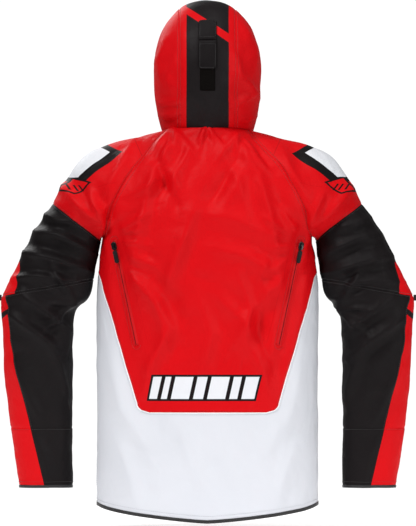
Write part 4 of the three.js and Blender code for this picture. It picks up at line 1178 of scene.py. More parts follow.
def ribbed(name, light, deep, pitch, roughness, direction="X"):
    """Woven tape: close ribs across its length, a little worn."""
    r = Recipe(name)
    place = r.rest()
    ribs = r.wave(place, 1 / (6.3 * pitch), direction)
    base = r.mix(r.noise(place, 60.0), deep, light)
    normal = r.bump(ribs, 0.4, 0.0004)
    return r.finish(Base_Color=base, Normal=normal, Roughness=roughness, Sheen_Weight=0.15)


def pile():
    """The soft half of a hook-and-loop closure."""
    r = Recipe("loop pile")
    place = r.rest()
    fluff = r.noise(place, 900.0, 4.0, 0.7)
    base = r.mix(fluff, colour(7, 6, 6), colour(20, 17, 15))
    normal = r.bump(fluff, 0.9, 0.0012)
    return r.finish(Base_Color=base, Normal=normal, Roughness=0.95, Specular_IOR_Level=0.04)


def moulded(name, light, deep, roughness, grain, depth, coat=0.0, metallic=0.0, gloss=0.2):
    """Moulded or cast pieces: a fine grain, duller where it has been handled."""
    r = Recipe(name)
    place = r.objects()
    grit = r.noise(place, grain, 4.0, 0.6)
    worn = r.noise(place, 90.0, 2.0)
    base = r.mix(worn, deep, light)
    rough = r.math("ADD", roughness - 0.08, r.math("MULTIPLY", worn, 0.16))
    return r.finish(Base_Color=base, Normal=r.bump(grit, 0.3, depth), Roughness=rough,
                    Coat_Weight=coat, Metallic=metallic, Specular_IOR_Level=gloss)


lining = lining_fabric()
black_trim = ribbed("black binding tape", colour(26, 25, 27), colour(14, 13, 14), 0.0011, 0.62, "Z")
zip_tape = ribbed("zip tape", colour(24, 22, 23), colour(12, 11, 12), 0.0008, 0.6, "Z")
loop_pile = pile()
thread_red = ribbed("red thread", THREAD_RED, colour(140, 5, 10), 0.0006, 0.55)
thread_black = ribbed("black thread", colour(60, 57, 58), THREAD_BLACK, 0.0006, 0.55)
thread_white = ribbed("white thread", colour(206, 208, 213), colour(186, 188, 194), 0.0006, 0.55)
piping_white = ribbed("white piping", colour(250, 250, 252), colour(240, 241, 244), 0.0009, 0.5)
zip_red = moulded("coated zip lip", colour(206, 9, 18), colour(186, 6, 14), 0.6, 700.0, 0.0002)
zip_dark = moulded("zip chain", colour(30, 12, 12), colour(16, 8, 8), 0.4, 900.0, 0.0002)
slider_metal = moulded("painted slider metal", colour(34, 33, 34), colour(20, 19, 20), 0.34, 500.0,
                       0.0001, coat=0.4, metallic=0.6)
pull_rubber = moulded("pull rubber", colour(30, 29, 30), colour(18, 17, 18), 0.6, 1200.0, 0.0002)
print(len(bpy.data.materials), "materials in all")

# %% [markdown]
# Each panel becomes a closed shell: the folded outer face, an inner face one wall further in that
# shows the mesh lining, and a rim between them. The cloth is made straight from its points,
# because a sewn panel is a shape that comes from a pattern and not from a primitive.

# %% Cloth pieces
WALL = 2.0
pieces = {}


def mesh_object(name, points, faces, materials, slots=None, sharp=None):
    """points in mm. slots gives a material number for each face."""
    mesh = bpy.data.meshes.new(name)
    mesh.from_pydata((np.asarray(points) * MM).tolist(), [], [list(map(int, f)) for f in faces])
    for material in materials:
        mesh.materials.append(material)
    if slots is not None:
        mesh.polygons.foreach_set("material_index", np.asarray(slots, np.int32))
    mesh.polygons.foreach_set("use_smooth", np.ones(len(mesh.polygons), bool))
    obj = bpy.data.objects.new(name, mesh)
    bpy.context.scene.collection.objects.link(obj)
    if sharp is not None:
        flags = np.zeros(len(mesh.edges), bool)
        for i, edge in enumerate(mesh.edges):
            flags[i] = frozenset(edge.vertices) in sharp
        mesh.attributes.new("sharp_edge", "BOOLEAN", "EDGE").data.foreach_set("value", flags)
    pieces[name] = obj
    return obj


def keep_rest(obj, points):
    """Stores where each point lay on the plain form, in metres."""
    store = obj.data.attributes.new("rest", "FLOAT_VECTOR", "POINT")
    store.data.foreach_set("vector", (np.asarray(points) * MM).astype(np.float32).ravel())


def cut_lengths(panel):
    """Lengths across and down the panel as it was cut, in metres, for the weave."""
    cut = np.zeros((len(panel["points"]), 2))
    start = 0.0
    for number in panel["numbers"]:
        p = panel["points"][number]
        across = np.linalg.norm(np.diff(p, axis=1), axis=2)
        down = np.linalg.norm(np.diff(p, axis=0), axis=2)
        across = np.concatenate([np.zeros((len(p), 1)), np.cumsum(across, axis=1)], axis=1)
        down = np.concatenate([np.zeros((1, p.shape[1])), np.cumsum(down, axis=0)], axis=0)
        cut[number.ravel()] = np.stack([across, down + start], -1).reshape(-1, 2) * MM
        start += down[-1].mean()
    return cut


def sew(name, materials, nodes):
    """Makes the panel's shell and hides the plain solids that it stands for."""
    panel = panels[name]
    outer = panel["cloth"]
    count = len(outer)
    points = np.concatenate([outer, outer - WALL * panel["out"]])
    faces = [list(f) for f in panel["faces"]]
    slots = [0] * len(faces)
    faces += [[v + count for v in f[::-1]] for f in panel["faces"]]
    slots += [1] * len(panel["faces"])
    sharp = set()
    for face in panel["faces"]:
        for i, v in enumerate(face):
            u = face[i - 1]
            if frozenset((u, v)) in panel["rim"]:
                faces.append([v, u, u + count, v + count])
                slots.append(0)
                sharp |= {frozenset((u, v)), frozenset((u + count, v + count))}
    obj = mesh_object(f"{name}_cloth", points, faces, materials, slots, sharp)
    keep_rest(obj, np.concatenate([panel["points"]] * 2))
    cut = np.tile(cut_lengths(panel), (2, 1)).astype(np.float32)
    loops = np.empty(len(obj.data.loops), np.int32)
    obj.data.loops.foreach_get("vertex_index", loops)
    obj.data.uv_layers.new(name="pattern").data.foreach_set("uv", cut[loops].ravel())
    if nodes:
        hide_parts(*nodes)
    return obj


def bend_shoulder(obj, side):
    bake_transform(obj)


def bend_elbow(obj, side):
    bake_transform(obj)


for name, shell in (("back_panel", red_back), ("back_hem_panel", white_shell),
                    ("hood_centre_panel", striped_hood)):
    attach(sew(name, [shell, lining], [name]), "jacket_body")
for side in SIDES:
    for name, shell in (("front_panel", red_shell), ("front_hem_panel", white_shell),
                        ("hood_side_panel", red_shell)):
        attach(sew(f"{side}_{name}", [shell, lining], [f"{side}_{name}"]), "jacket_body")
    for name, shell in (("shoulder_panel", red_shoulder), ("upper_sleeve", black_upper)):
        bend_shoulder(sew(f"{side}_{name}", [shell, lining], [f"{side}_{name}"]), side)
    bend_elbow(sew(f"{side}_forearm_black", [black_shell, lining],
                   [f"{side}_elbow_section", f"{side}_forearm_panel"]), side)
    bend_elbow(sew(f"{side}_forearm_red", [red_sleeve, lining], [f"{side}_forearm_outer_panel"]), side)
    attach(sew(f"{side}_cuff_black", [black_shell, lining], [f"{side}_cuff_band"]), f"{side}_forearm")
    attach(sew(f"{side}_cuff_red", [red_sleeve, lining], []), f"{side}_forearm")
print(len(pieces), "cloth pieces,", sum(len(o.data.polygons) for o in pieces.values()), "faces")

# %% [markdown]
# Raw edges are bound with folded tape, and the main seams carry a raised welt. Both are a small
# rounded section swept along the edge of the finished cloth.

# %% Swept tapes
def swept(name, path, outs, ways, section, materials, closed=False):
    """section is a ring of (out, way) offsets in mm, carried along the path."""
    path, outs, ways = (np.asarray(a, float) for a in (path, outs, ways))
    ring = np.asarray(section, float)
    points = (path[:, None] + outs[:, None] * ring[None, :, :1] + ways[:, None] * ring[None, :, 1:])
    rows, size = points.shape[:2]
    faces = []
    for i in range(rows if closed else rows - 1):
        j = (i + 1) % rows
        for k in range(size):
            m = (k + 1) % size
            faces.append([i * size + k, i * size + m, j * size + m, j * size + k])
    if not closed:
        faces += [list(range(size))[::-1], [(rows - 1) * size + k for k in range(size)]]
    flat = points.reshape(-1, 3)
    along = path[1] - path[0]
    turn = np.cross(points[0, 1] - points[0, 0], along)
    if turn @ ((points[0, 0] + points[0, 1]) / 2 - points[0].mean(0)) < 0:
        faces = [f[::-1] for f in faces]
    obj = mesh_object(name, flat, faces, materials)
    keep_rest(obj, flat)
    return obj


def rounded_section(out_low, out_high, way_low, way_high, radius):
    """A rectangle with rounded corners."""
    ring = []
    corners = ((out_high - radius, way_high - radius), (out_low + radius, way_high - radius),
               (out_low + radius, way_low + radius), (out_high - radius, way_low + radius))
    for quarter, (cx, cy) in enumerate(corners):
        for step in (0, 30, 60, 90):
            angle = math.radians(90 * quarter + step)
            ring.append((cx + radius * math.cos(angle), cy + radius * math.sin(angle)))
    return ring


def panel_line(name, grid, rows, columns):
    number = panels[name]["numbers"][grid][rows, columns]
    return panels[name]["cloth"][number], panels[name]["out"][number]


def chain(*parts):
    """Joins lines end to end, dropping the shared points."""
    points = np.concatenate([parts[0][0]] + [p[0][1:] for p in parts[1:]])
    outs = np.concatenate([parts[0][1]] + [p[1][1:] for p in parts[1:]])
    return points, outs


def turned(line):
    return line[0][::-1], line[1][::-1]


legs = len(block_drops)
down = np.array([0, 0, -1.0])
hem_left = panel_line("left_front_hem_panel", 0, slice(legs - 1, None), -1)
hem_right = panel_line("right_front_hem_panel", 0, slice(legs - 1, None), -1)
hem_back = panel_line("back_hem_panel", 0, slice(legs - 1, legs - 1 + len(back_shares)), -1)
hem_points, hem_outs = chain(turned(hem_left), hem_back, hem_right)
tape = rounded_section(-3.2, 1.9, -1.4, 5.6, 1.1)
hem = swept("hem_binding_tape", hem_points, hem_outs, np.tile(down, (len(hem_points), 1)), tape,
            [black_trim])
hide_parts("hem_binding")
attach(hem, "jacket_body")

for side in SIDES:
    black_edge = panel_line(f"{side}_cuff_black", 0, -1, slice(None))
    red_edge = panel_line(f"{side}_cuff_red", 0, -1, slice(None))
    points, outs = chain(black_edge, red_edge)
    cuff = swept(f"{side}_cuff_binding_tape", points[:-1], outs[:-1],
                 np.tile(down, (len(points) - 1, 1)), rounded_section(-3.0, 1.6, -1.2, 4.6, 1.0),
                 [black_trim], closed=True)
    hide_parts(f"{side}_cuff_binding")
    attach(cuff, f"{side}_forearm")


def face_side(side):
    name = f"{side}_hood_side_panel"
    edge, outs = panel_line(name, 0, slice(COLLAR_ROW, FACE_ROW + 1), -1)
    before, _ = panel_line(name, 0, slice(COLLAR_ROW, FACE_ROW + 1), -3)
    return edge, outs, edge - before


left_face, right_face = face_side("left"), face_side("right")
brow, brow_outs = panel_line("hood_centre_panel", 0, -1, slice(None))
brow_before, _ = panel_line("hood_centre_panel", 0, -3, slice(None))
face_path = np.concatenate([left_face[0], brow[::-1][1:-1], right_face[0][::-1]])
face_outs = np.concatenate([left_face[1], brow_outs[::-1][1:-1], right_face[1][::-1]])
face_ways = np.concatenate([left_face[2], (brow - brow_before)[::-1][1:-1], right_face[2][::-1]])
tangent = np.gradient(face_path, axis=0)
tangent /= np.linalg.norm(tangent, axis=1, keepdims=True)
face_ways -= tangent * (face_ways * tangent).sum(1, keepdims=True)
face_ways -= face_outs * (face_ways * face_outs).sum(1, keepdims=True)
face_ways /= np.linalg.norm(face_ways, axis=1, keepdims=True)
for _ in range(4):
    face_ways[1:-1] = (face_ways[:-2] + 2 * face_ways[1:-1] + face_ways[2:]) / 4
    face_ways /= np.linalg.norm(face_ways, axis=1, keepdims=True)
face = swept("face_binding_tape", face_path, face_outs, face_ways,
             rounded_section(-3.2, 1.6, -1.2, 5.6, 1.1), [black_trim])
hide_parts("hood_face_binding")
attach(face, "jacket_body")
print("hem tape", round(float(np.linalg.norm(np.diff(hem_points, axis=0), axis=1).sum()) * MM, 3), "m")


# %% Welts and piping
WELT_SINK = 0.6        # how deep the flat side of a welt lies in the cloth


def raised(name, line, width, height, material, shift=0.0):
    """A half-round cord along a seam, its flat side in the cloth."""
    points, outs = line
    along = np.gradient(points, axis=0)
    along /= np.linalg.norm(along, axis=1, keepdims=True)
    across = np.cross(outs, along)
    ring = [(height * math.sin(a) - (WELT_SINK if a in (0, math.pi) else 0),
             width / 2 * math.cos(a) + shift) for a in [math.pi * k / 6 for k in range(7)]]
    obj = swept(name, points, outs, across, ring, [material])
    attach(obj, "jacket_body")


for side in SIDES:
    column = -1 if side == "left" else 0
    back_seam = panel_line("back_panel", 1, slice(None), column)
    front_seam = panel_line(f"{side}_front_panel", 1, slice(None), -1)
    way = SIDES[side]
    for n, offset in enumerate((-1.7, 1.9)):
        raised(f"{side}_back_raglan_welt_{n}", back_seam, 2.4, 1.4, red_shell, way * offset)
    raised(f"{side}_front_raglan_welt", front_seam, 2.8, 1.4, red_shell)

block_rows = slice(0, legs)
left_block = panel_line("back_panel", 0, block_rows, -1)
right_block = panel_line("back_panel", 0, block_rows, 0)
bottom_block = panel_line("back_panel", 0, 0, slice(None))
back_block = chain(turned(left_block), turned(bottom_block), right_block)
raised("back_block_piping", back_block, 2.4, 1.7, piping_white)
for side in SIDES:
    name = f"{side}_front_panel"
    line = chain(turned(panel_line(name, 0, block_rows, -1)),
                 turned(panel_line(name, 0, 0, slice(None))))
    raised(f"{side}_front_block_piping", line, 2.4, 1.7, piping_white)
print(len(pieces), "pieces")

# %% [markdown]
# Topstitching holds the seams flat. One stitch is a tiny six-sided bar; a few thousand of them
# follow lines set in from the panels' edges. They go into one mesh for each group of seams.

# %% Stitches
STITCH_LONG, STITCH_PITCH, STITCH_THICK, STITCH_LIFT = 2.8, 4.4, 0.62, 0.02


def inset_line(name, grid, edge, inset, rows=slice(None)):
    """The line a little inside an edge of a panel's grid: top, bottom, first or last."""
    panel = panels[name]
    number = panel["numbers"][grid]
    if edge in ("top", "bottom"):
        number = number if edge == "top" else number[::-1]
    else:
        number = number.T if edge == "first" else number.T[::-1]
    cloth, out = panel["cloth"][number], panel["out"][number]
    spans = np.linalg.norm(np.diff(cloth, axis=0), axis=2)
    depth = np.concatenate([np.zeros((1, spans.shape[1])), np.cumsum(spans, axis=0)])
    points, outs = [], []
    for c in range(number.shape[1])[rows]:
        i = int(np.clip(np.searchsorted(depth[:, c], inset) - 1, 0, len(depth) - 2))
        u = (inset - depth[i, c]) / max(depth[i + 1, c] - depth[i, c], 1e-6)
        points.append(lerp(cloth[i, c], cloth[i + 1, c], u))
        outs.append(lerp(out[i, c], out[i + 1, c], u))
    return np.array(points), np.array(outs)


def dashes(line):
    """Corner points of each stitch along a line."""
    points, outs = line
    spans = np.linalg.norm(np.diff(points, axis=0), axis=1)
    place = np.concatenate([[0], np.cumsum(spans)])
    bars = []
    for middle in np.arange(STITCH_PITCH, place[-1] - STITCH_PITCH / 2, STITCH_PITCH):
        ends = [np.array([np.interp(s, place, points[:, k]) for k in range(3)])
                for s in (middle - STITCH_LONG / 2, middle + STITCH_LONG / 2)]
        out = np.array([np.interp(middle, place, outs[:, k]) for k in range(3)])
        out /= np.linalg.norm(out)
        along = ends[1] - ends[0]
        across = np.cross(out, along / max(np.linalg.norm(along), 1e-6))
        low, high = out * STITCH_LIFT, out * (STITCH_LIFT + STITCH_THICK)
        half = across * STITCH_THICK / 2
        bars.append([ends[0] - half + low, ends[0] + half + low, ends[0] + 0.7 * half + high,
                     ends[0] - 0.7 * half + high, ends[1] - half + low, ends[1] + half + low,
                     ends[1] + 0.7 * half + high, ends[1] - 0.7 * half + high])
    return bars


BAR_FACES = [[0, 3, 2, 1], [4, 5, 6, 7], [0, 1, 5, 4], [1, 2, 6, 5], [2, 3, 7, 6], [3, 0, 4, 7]]


def stitching(name, lines, material, seat):
    """seat is a body to ride on, or a function that is run on the piece, as on its cloth."""
    bars = [bar for line in lines for bar in dashes(line)]
    points = np.array(bars).reshape(-1, 3)
    faces = [[8 * i + v for v in face] for i in range(len(bars)) for face in BAR_FACES]
    first = np.cross(points[1] - points[0], points[4] - points[0])
    if first @ (points[3] - points[0]) > 0:
        faces = [f[::-1] for f in faces]
    obj = mesh_object(name, points, faces, [material])
    keep_rest(obj, points)
    if callable(seat):
        seat(obj)
    else:
        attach(obj, seat)
    return len(bars)


block = slice(0, legs)
SEAM_GROUPS = [
    ("back_red", thread_red, "jacket_body", [
        ("back_panel", 1, "last", 7.5), ("back_panel", 1, "first", 7.5),
        ("back_panel", 0, "first", 4.0, block), ("back_panel", 0, "last", 4.0, block),
        ("back_panel", 0, "top", 4.0)]),
    ("hood_red", thread_red, "jacket_body", [
        ("hood_centre_panel", 0, "first", 3.4), ("hood_centre_panel", 0, "last", 3.4),
        *[(f"{side}_hood_side_panel", 0, edge, inset)
          for edge, inset in (("first", 3.4), ("last", 5.0)) for side in SIDES]]),
    ("white_panel", thread_white, "jacket_body", [
        ("back_hem_panel", 0, "last", 9.0), ("back_hem_panel", 0, "first", 4.0),
        *[(f"{side}_front_hem_panel", 0, "last", 9.0) for side in SIDES]]),
    ("front_red", thread_red, "jacket_body", [
        (f"{side}_front_panel", grid, "first", 4.0) for side in SIDES for grid in (0, 1)])]
for side in SIDES:
    at_shoulder, at_elbow = partial(bend_shoulder, side=side), partial(bend_elbow, side=side)
    SEAM_GROUPS += [
        (f"{side}_shoulder", thread_red, at_shoulder, [
            (f"{side}_shoulder_panel", 0, "bottom", 3.4), (f"{side}_shoulder_panel", 0, "top", 4.0)]),
        (f"{side}_upper_sleeve", thread_black, at_shoulder, [
            (f"{side}_upper_sleeve", 0, edge, 3.4) for edge in ("top", "bottom")]),
        (f"{side}_forearm", thread_black, at_elbow, [
            (f"{side}_forearm_black", 0, edge, inset)
            for edge, inset in (("top", 3.4), ("last", 3.0), ("first", 3.0))]),
        *[(f"{side}_cuff{part}", thread, f"{side}_forearm", [
            (f"{side}_cuff_{colour_name}", 0, edge, inset)
            for edge, inset in (("top", 3.4), ("bottom", 8.0))])
          for part, thread, colour_name in (("", thread_black, "black"), ("_red", thread_red, "red"))]]
total = sum(stitching(f"{name}_stitching", [inset_line(*line) for line in lines], thread, seat)
            for name, thread, seat, lines in SEAM_GROUPS)
print(total, "stitches")

# %% [markdown]
# Small soft pieces lie on the big ones: the tab and its loop pad behind the hood, the cuff tabs,
# the pocket bags and the flap behind the front zip. Each is a slab sampled on the same form as the
# cloth under it, lifted clear, with its edges rolled down.

# %% Slabs on the cloth
def directions(points):
    """Outward directions of a grid from its own rows and columns."""
    across, down_way = np.gradient(points, axis=1), np.gradient(points, axis=0)
    n = np.cross(across, down_way)
    return n / np.maximum(np.linalg.norm(n, axis=2, keepdims=True), 1e-9)


def laid(points, core):
    """A grid of form points with its folds, and directions that point away from the core."""
    n = directions(points)
    if ((points - core(points)) * n).sum() < 0:
        n = -n
    flat, out = points.reshape(-1, 3), n.reshape(-1, 3)
    raised_points = flat + out * lie_flat(flat, out, folds(flat, out))[:, None]
    return raised_points.reshape(points.shape), n


def slab(name, points, outs, low, high, material, node=None, roll=0.9, body="jacket_body"):
    """A closed slab between two lifts above a grid of points, with rolled edges."""
    rows, cols = points.shape[:2]
    edge = np.zeros((rows, cols, 1))
    edge[[0, -1]] = 1
    edge[:, [0, -1]] = 1
    inner = np.zeros((rows, cols, 1))
    inner[[1, -2]] = 1
    inner[:, [1, -2]] = 1
    top = points + outs * (high - roll * edge - 0.25 * roll * inner * (1 - edge))
    bottom = points + outs * low
    number = np.arange(rows * cols).reshape(rows, cols)
    a, b, c, d = number[:-1, :-1], number[:-1, 1:], number[1:, 1:], number[1:, :-1]
    quads = np.stack([a, b, c, d], -1).reshape(-1, 4)
    count = rows * cols
    ring = [*number[0], *number[1:, -1], *number[-1, -2::-1], *number[-2:0:-1, 0]]
    rim = [[ring[i], ring[i - 1], ring[i - 1] + count, ring[i] + count] for i in range(len(ring))]
    faces = quads.tolist() + [[v + count for v in q[::-1]] for q in quads.tolist()] + rim
    flat = np.concatenate([top.reshape(-1, 3), bottom.reshape(-1, 3)])
    test = np.cross(points[0, 1] - points[0, 0], points[1, 1] - points[0, 0])
    if test @ outs[0, 0] < 0:
        faces = [f[::-1] for f in faces]
    obj = mesh_object(name, flat, faces, [material])
    keep_rest(obj, flat)
    if node:
        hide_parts(node)
    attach(obj, body)
    return obj


def hood_back(x, level):
    x, level = np.broadcast_arrays(np.asarray(x, float), level)
    low = hood(hood_turn(np.abs(x), np.minimum(level, HOOD_BROW)), np.minimum(level, HOOD_BROW))
    low[..., 0] = x
    climb = np.arcsin((np.maximum(level - HOOD_BROW, 0) / hood_rise) ** (HOOD_SQUARE / 2))
    return np.where((level <= HOOD_BROW)[..., None], low, crown(x, climb))


def strap_grid(half, low, high, low_corner, high_corner, columns=15, rows=23):
    """x and level over a strap whose corners are rounded."""
    level = np.linspace(low, high, rows)
    narrow = np.zeros(rows)
    for radius, gap in ((low_corner, level - low), (high_corner, high - level)):
        if radius:
            short = np.clip(radius - gap, 0, radius)
            narrow = np.maximum(narrow, radius - np.sqrt(radius**2 - short**2))
    x = np.linspace(-1, 1, columns)[None, :] * (half - narrow)[:, None]
    return x, np.repeat(level[:, None], columns, 1)


def hood_strap(name, half, low, high, corners, lifts, material, node, body):
    x, level = strap_grid(half, low, high, *corners)
    points, outs = laid(hood_back(x, level), hood_core)
    slab(name, points, outs, *lifts, material, node, body=body)
    return points + outs * lifts[1], outs


PAD_TOP = 128.0
hood_strap("hood_loop_pad_pile", 15.0, PAD_BOTTOM, PAD_TOP, (1.5, 1.5), (-0.3, 1.5), loop_pile,
           "hood_loop_pad", "jacket_body")
flap, flap_out = hood_strap("hood_tab_flap", TAB_HALF, HOOD_BROW, TAB_HINGE - 0.5, (5.0, 0), (1.9, 3.9),
                            black_shell, "hood_tab", "hood_flap")
base, base_out = hood_strap("hood_tab_sewn", TAB_HALF, TAB_HINGE + 0.5, TAB_TOP, (0, 4.0), (0.1, 3.4),
                            black_shell, "hood_tab_base", "jacket_body")


def ring_line(points, outs, step):
    """A closed line a few cells in from the edge of a grid."""
    a, b = step, -1 - step
    pick = [*[(a, j) for j in range(step, points.shape[1] - step)],
            *[(i, b) for i in range(step + 1, points.shape[0] - step)],
            *[(b, j) for j in range(points.shape[1] - step - 2, step - 1, -1)],
            *[(i, a) for i in range(points.shape[0] - step - 2, step - 1, -1)]]
    r, c = np.array(pick).T
    return points[r, c], outs[r, c]


# the rows beside the hinge stay free of thread, so that the tab can fold back on its base
CLEAR = 2
stitching("hood_flap_stitching", [ring_line((flap - 0.15 * flap_out)[:-CLEAR], flap_out[:-CLEAR], 1)],
          thread_black, "hood_flap")
stitching("hood_base_stitching", [ring_line((base - 0.15 * base_out)[CLEAR:], base_out[CLEAR:], 1)],
          thread_black, "jacket_body")


def sleeve_grid(side, first, last, low, high, columns=17, rows=9):
    turn = np.radians(np.linspace(first, last, columns))[None, :]
    along = np.linspace(low, high, rows)[:, None]
    points = sleeve(turn, along)
    return points if side == "left" else mirrored(points)


for side in SIDES:
    points, outs = laid(sleeve_grid(side, 225, 255, 8.1, 8.4), sleeve_core)
    slab(f"{side}_cuff_pad_pile", points, outs, -0.4, 1.3, loop_pile, f"{side}_cuff_loop_pad",
         body=f"{side}_forearm")
    points, outs = laid(sleeve_grid(side, 240.5, 299.5, 8.09, 8.41, 25, 9), sleeve_core)
    slab(f"{side}_cuff_tab_strap", points, outs, 1.7, 4.0, black_shell, f"{side}_cuff_tab",
         body=f"{side}_cuff_flap")
    stitching(f"{side}_cuff_tab_stitching", [ring_line(points + 3.85 * outs, outs, 1)], thread_black,
              f"{side}_cuff_flap")

# pocket bags, neck facing and the flap behind the front zip, all inside the jacket
BAG_WIDE, BAG_BELOW, ZIP_WIDE = 120.0, 70.0, 14.0
for side in SIDES:
    drops = np.linspace(POCKET_TOP[1] - 6, POCKET_BOTTOM[1] + BAG_BELOW, 28)
    u = np.clip((drops - POCKET_TOP[1]) / (POCKET_BOTTOM[1] - POCKET_TOP[1]), 0, 1)
    edge = lerp(POCKET_TOP[0], POCKET_BOTTOM[0], u) + ZIP_WIDE
    x = edge[:, None] - BAG_WIDE * np.linspace(0, 1, 20)[None, :]
    points = front_body(body_turn(x, drops[:, None]), drops[:, None])
    if side == "right":
        points = mirrored(points)
    outs = directions(points)
    outs *= np.sign((points - body_core(points)) * outs).sum(-1, keepdims=True).clip(-1, 1)
    puff = 1.2 * np.sin(np.linspace(0, math.pi, 28))[:, None, None]
    slab(f"{side}_pocket_bag_cloth", points, outs, -6.2 - puff, -4.4, lining, f"{side}_pocket_bag")

turn = np.radians(np.linspace(-95, 95, 61))[None, :]
level = np.linspace(4, 32, 10)[:, None]
facing = hood(np.abs(turn), level)
facing[..., 0] *= np.sign(turn)
outs = directions(facing)
outs *= np.sign(((facing - hood_core(facing)) * outs).sum())
slab("neck_facing_tape", facing, outs, -4.4, -3.2, black_trim, "neck_facing", roll=0.4)
print("slabs done,", len(pieces), "pieces")

# %% [markdown]
# The zips. A back vent is closed by a coated zip whose two lips meet over the chain, so it reads
# as a thin dark line. The front zip is a heavy one with moulded teeth. The sliders and pulls are
# modelled the way they are cast: an oval body, edges rounded, with a bridge for the pull to hang
# from. They are made once with Blender's own operators and copied to each zip.

# %% Coated vent and pocket zips
def straight(line, first, last, count):
    t = np.linspace(first, last, count)
    points = line["start"] + line["along"] * t[:, None]
    return (points, np.tile(line["out"], (count, 1)), np.tile(line["across"], (count, 1)))


THREAD_OUT = 9.5       # from the middle of a coated zip to the stitches round it


def lip(inner, outer, height):
    """The section of one lip: thin at the cloth, plump over the chain."""
    return [(-1.5, inner), (-1.5, outer), (-0.9, outer), (0.55 * height, lerp(outer, inner, 0.3)),
            (height, lerp(outer, inner, 0.62)), (0.93 * height, lerp(outer, inner, 0.85)),
            (0.45 * height, inner)]


for name, line in zips.items():
    for n, sign in ((0, 1), (1, -1)):
        section = lip(0.5 * sign, 5.6 * sign, 1.5)
        obj = swept(f"{name}_zip_lip_{n}", *straight(line, -1.5, line["long"] + 1.5, 60), section,
                    [zip_red])
        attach(obj, "jacket_body")
        if n == 0:
            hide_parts(f"{name}_zip")
    points, outs, ways = straight(line, 3, line["long"] - 2, 110)
    sway = 0.35 * np.sin(np.linspace(0, 31, 110)) + 0.2 * np.sin(np.linspace(0, 71, 110))
    chain_bar = swept(f"{name}_zip_chain", points + ways * sway[:, None], outs, ways,
                      [(-1.4, -0.9), (-1.4, 0.9), (0.6, 0.8), (1.0, 0), (0.6, -0.8)], [zip_dark])
    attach(chain_bar, "jacket_body")
    middle, reach = (line["start"] + line["end"]) / 2, line["long"] / 2
    box_line = []
    for a in [2 * math.pi * k / 64 for k in range(65)]:
        shift = reach if math.sin(a) >= 0 else -reach
        box_line.append(middle + line["across"] * THREAD_OUT * math.cos(a)
                        + line["along"] * (THREAD_OUT * math.sin(a) + shift))
    box_line = np.array(box_line) + line["out"] * (ZIP_BED + 0.1)
    stitching(f"{name}_zip_stitching", [(box_line, np.tile(line["out"], (65, 1)))], thread_red,
              "jacket_body")

# %% The front zip: tapes and moulded teeth
chin = hood(math.pi, COLLAR)
front_top = np.array([0, float(front_y(-chin[2])) + 1.3, float(chin[2]) - 1])
front_foot = np.array([0, float(front_y(FRONT_LENGTH)) + 1.3, -FRONT_LENGTH])
front_long = float(np.linalg.norm(front_foot - front_top))
front_along = (front_foot - front_top) / front_long
front_out = np.array([0, -1.0, 0]) - front_along * -front_along[1]
front_out /= np.linalg.norm(front_out)
front_zip = {"start": front_top, "end": front_foot, "along": front_along, "out": front_out,
             "across": np.cross(front_out, front_along), "long": front_long}
BOX_LONG, TOOTH_PITCH = 12.0, 2.9


def tooth(line, t, sign):
    """One moulded tooth: a block with a narrower head that reaches over the middle."""
    points = []
    for out, shrink in ((-1.0, 0.0), (1.35, 0.35)):
        for across, along in ((3.6, 0.75), (1.2, 0.75), (-0.5, 0.55), (-0.5, -0.55), (1.2, -0.75),
                              (3.6, -0.75)):
            a = across - (shrink if across > 3 else 0)
            points.append(line["start"] + line["along"] * (t + along * (1 - 0.3 * shrink))
                          + line["across"] * a * sign + line["out"] * out)
    return points


TOOTH_FACES = [[0, 1, 2, 3, 4, 5], [11, 10, 9, 8, 7, 6]] + [[i, i + 6, (i + 1) % 6 + 6, (i + 1) % 6]
                                                          for i in range(6)]
for side, sign in SIDES.items():
    way = sign if front_zip["across"][0] > 0 else -sign
    section = [(out, across * way) for out, across in
               ((-0.9, 0.2), (-0.9, 7.2), (0.1, 7.2), (0.3, 3.2), (0.1, 0.2))]
    tape_bar = swept(f"{side}_front_tape", *straight(front_zip, 1, front_long - BOX_LONG - 1, 90),
                     section, [zip_tape])
    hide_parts(f"front_zip_{side}_tape")
    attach(tape_bar, "jacket_body")
    points, faces = [], []
    start = 8 + (TOOTH_PITCH / 2 if side == "left" else 0)
    for k, t in enumerate(np.arange(start, front_long - BOX_LONG - 2, TOOTH_PITCH)):
        points += tooth(front_zip, t, way)
        faces += [[12 * k + v for v in face] for face in TOOTH_FACES]
    p = np.array(points)
    n = np.cross(p[1] - p[0], p[2] - p[0])
    if n @ (p[6] - p[0]) > 0:
        faces = [f[::-1] for f in faces]
    teeth = mesh_object(f"{side}_front_teeth", p, faces, [zip_dark])
    keep_rest(teeth, p)
    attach(teeth, "jacket_body")
flap_points, flap_outs, flap_ways = straight(front_zip, 2, front_long - 2, 60)
shares = np.linspace(-1, 1, 9)[None, :, None] * 15.0
points = flap_points[:, None] + flap_ways[:, None] * shares
slab("storm_flap_cloth", points, np.tile(flap_outs[:, None], (1, 9, 1)), -4.4, -2.9, lining,
     "front_storm_flap", roll=0.5)
print(len(pieces), "pieces with the zips")


# %% [markdown]
# The hard pieces are modelled with operators. A slider starts as a short cylinder stretched to an
# oval; its upper face is inset and lowered, its edges are bevelled, and a small arch is added as
# the bridge. A pull starts the same way, thin and long, with a waist and three grip ribs.

# %% Operator helpers
SMOOTH_ANGLE = math.radians(35)


def choose(*objects):
    """Selects these objects alone and makes the first one active."""
    bpy.ops.object.select_all(action="DESELECT")
    for obj in objects:
        obj.select_set(True)
    bpy.context.view_layer.objects.active = objects[0]


def start_primitive(operator, **settings):
    bpy.ops.object.select_all(action="DESELECT")
    operator(**settings)
    return bpy.context.object


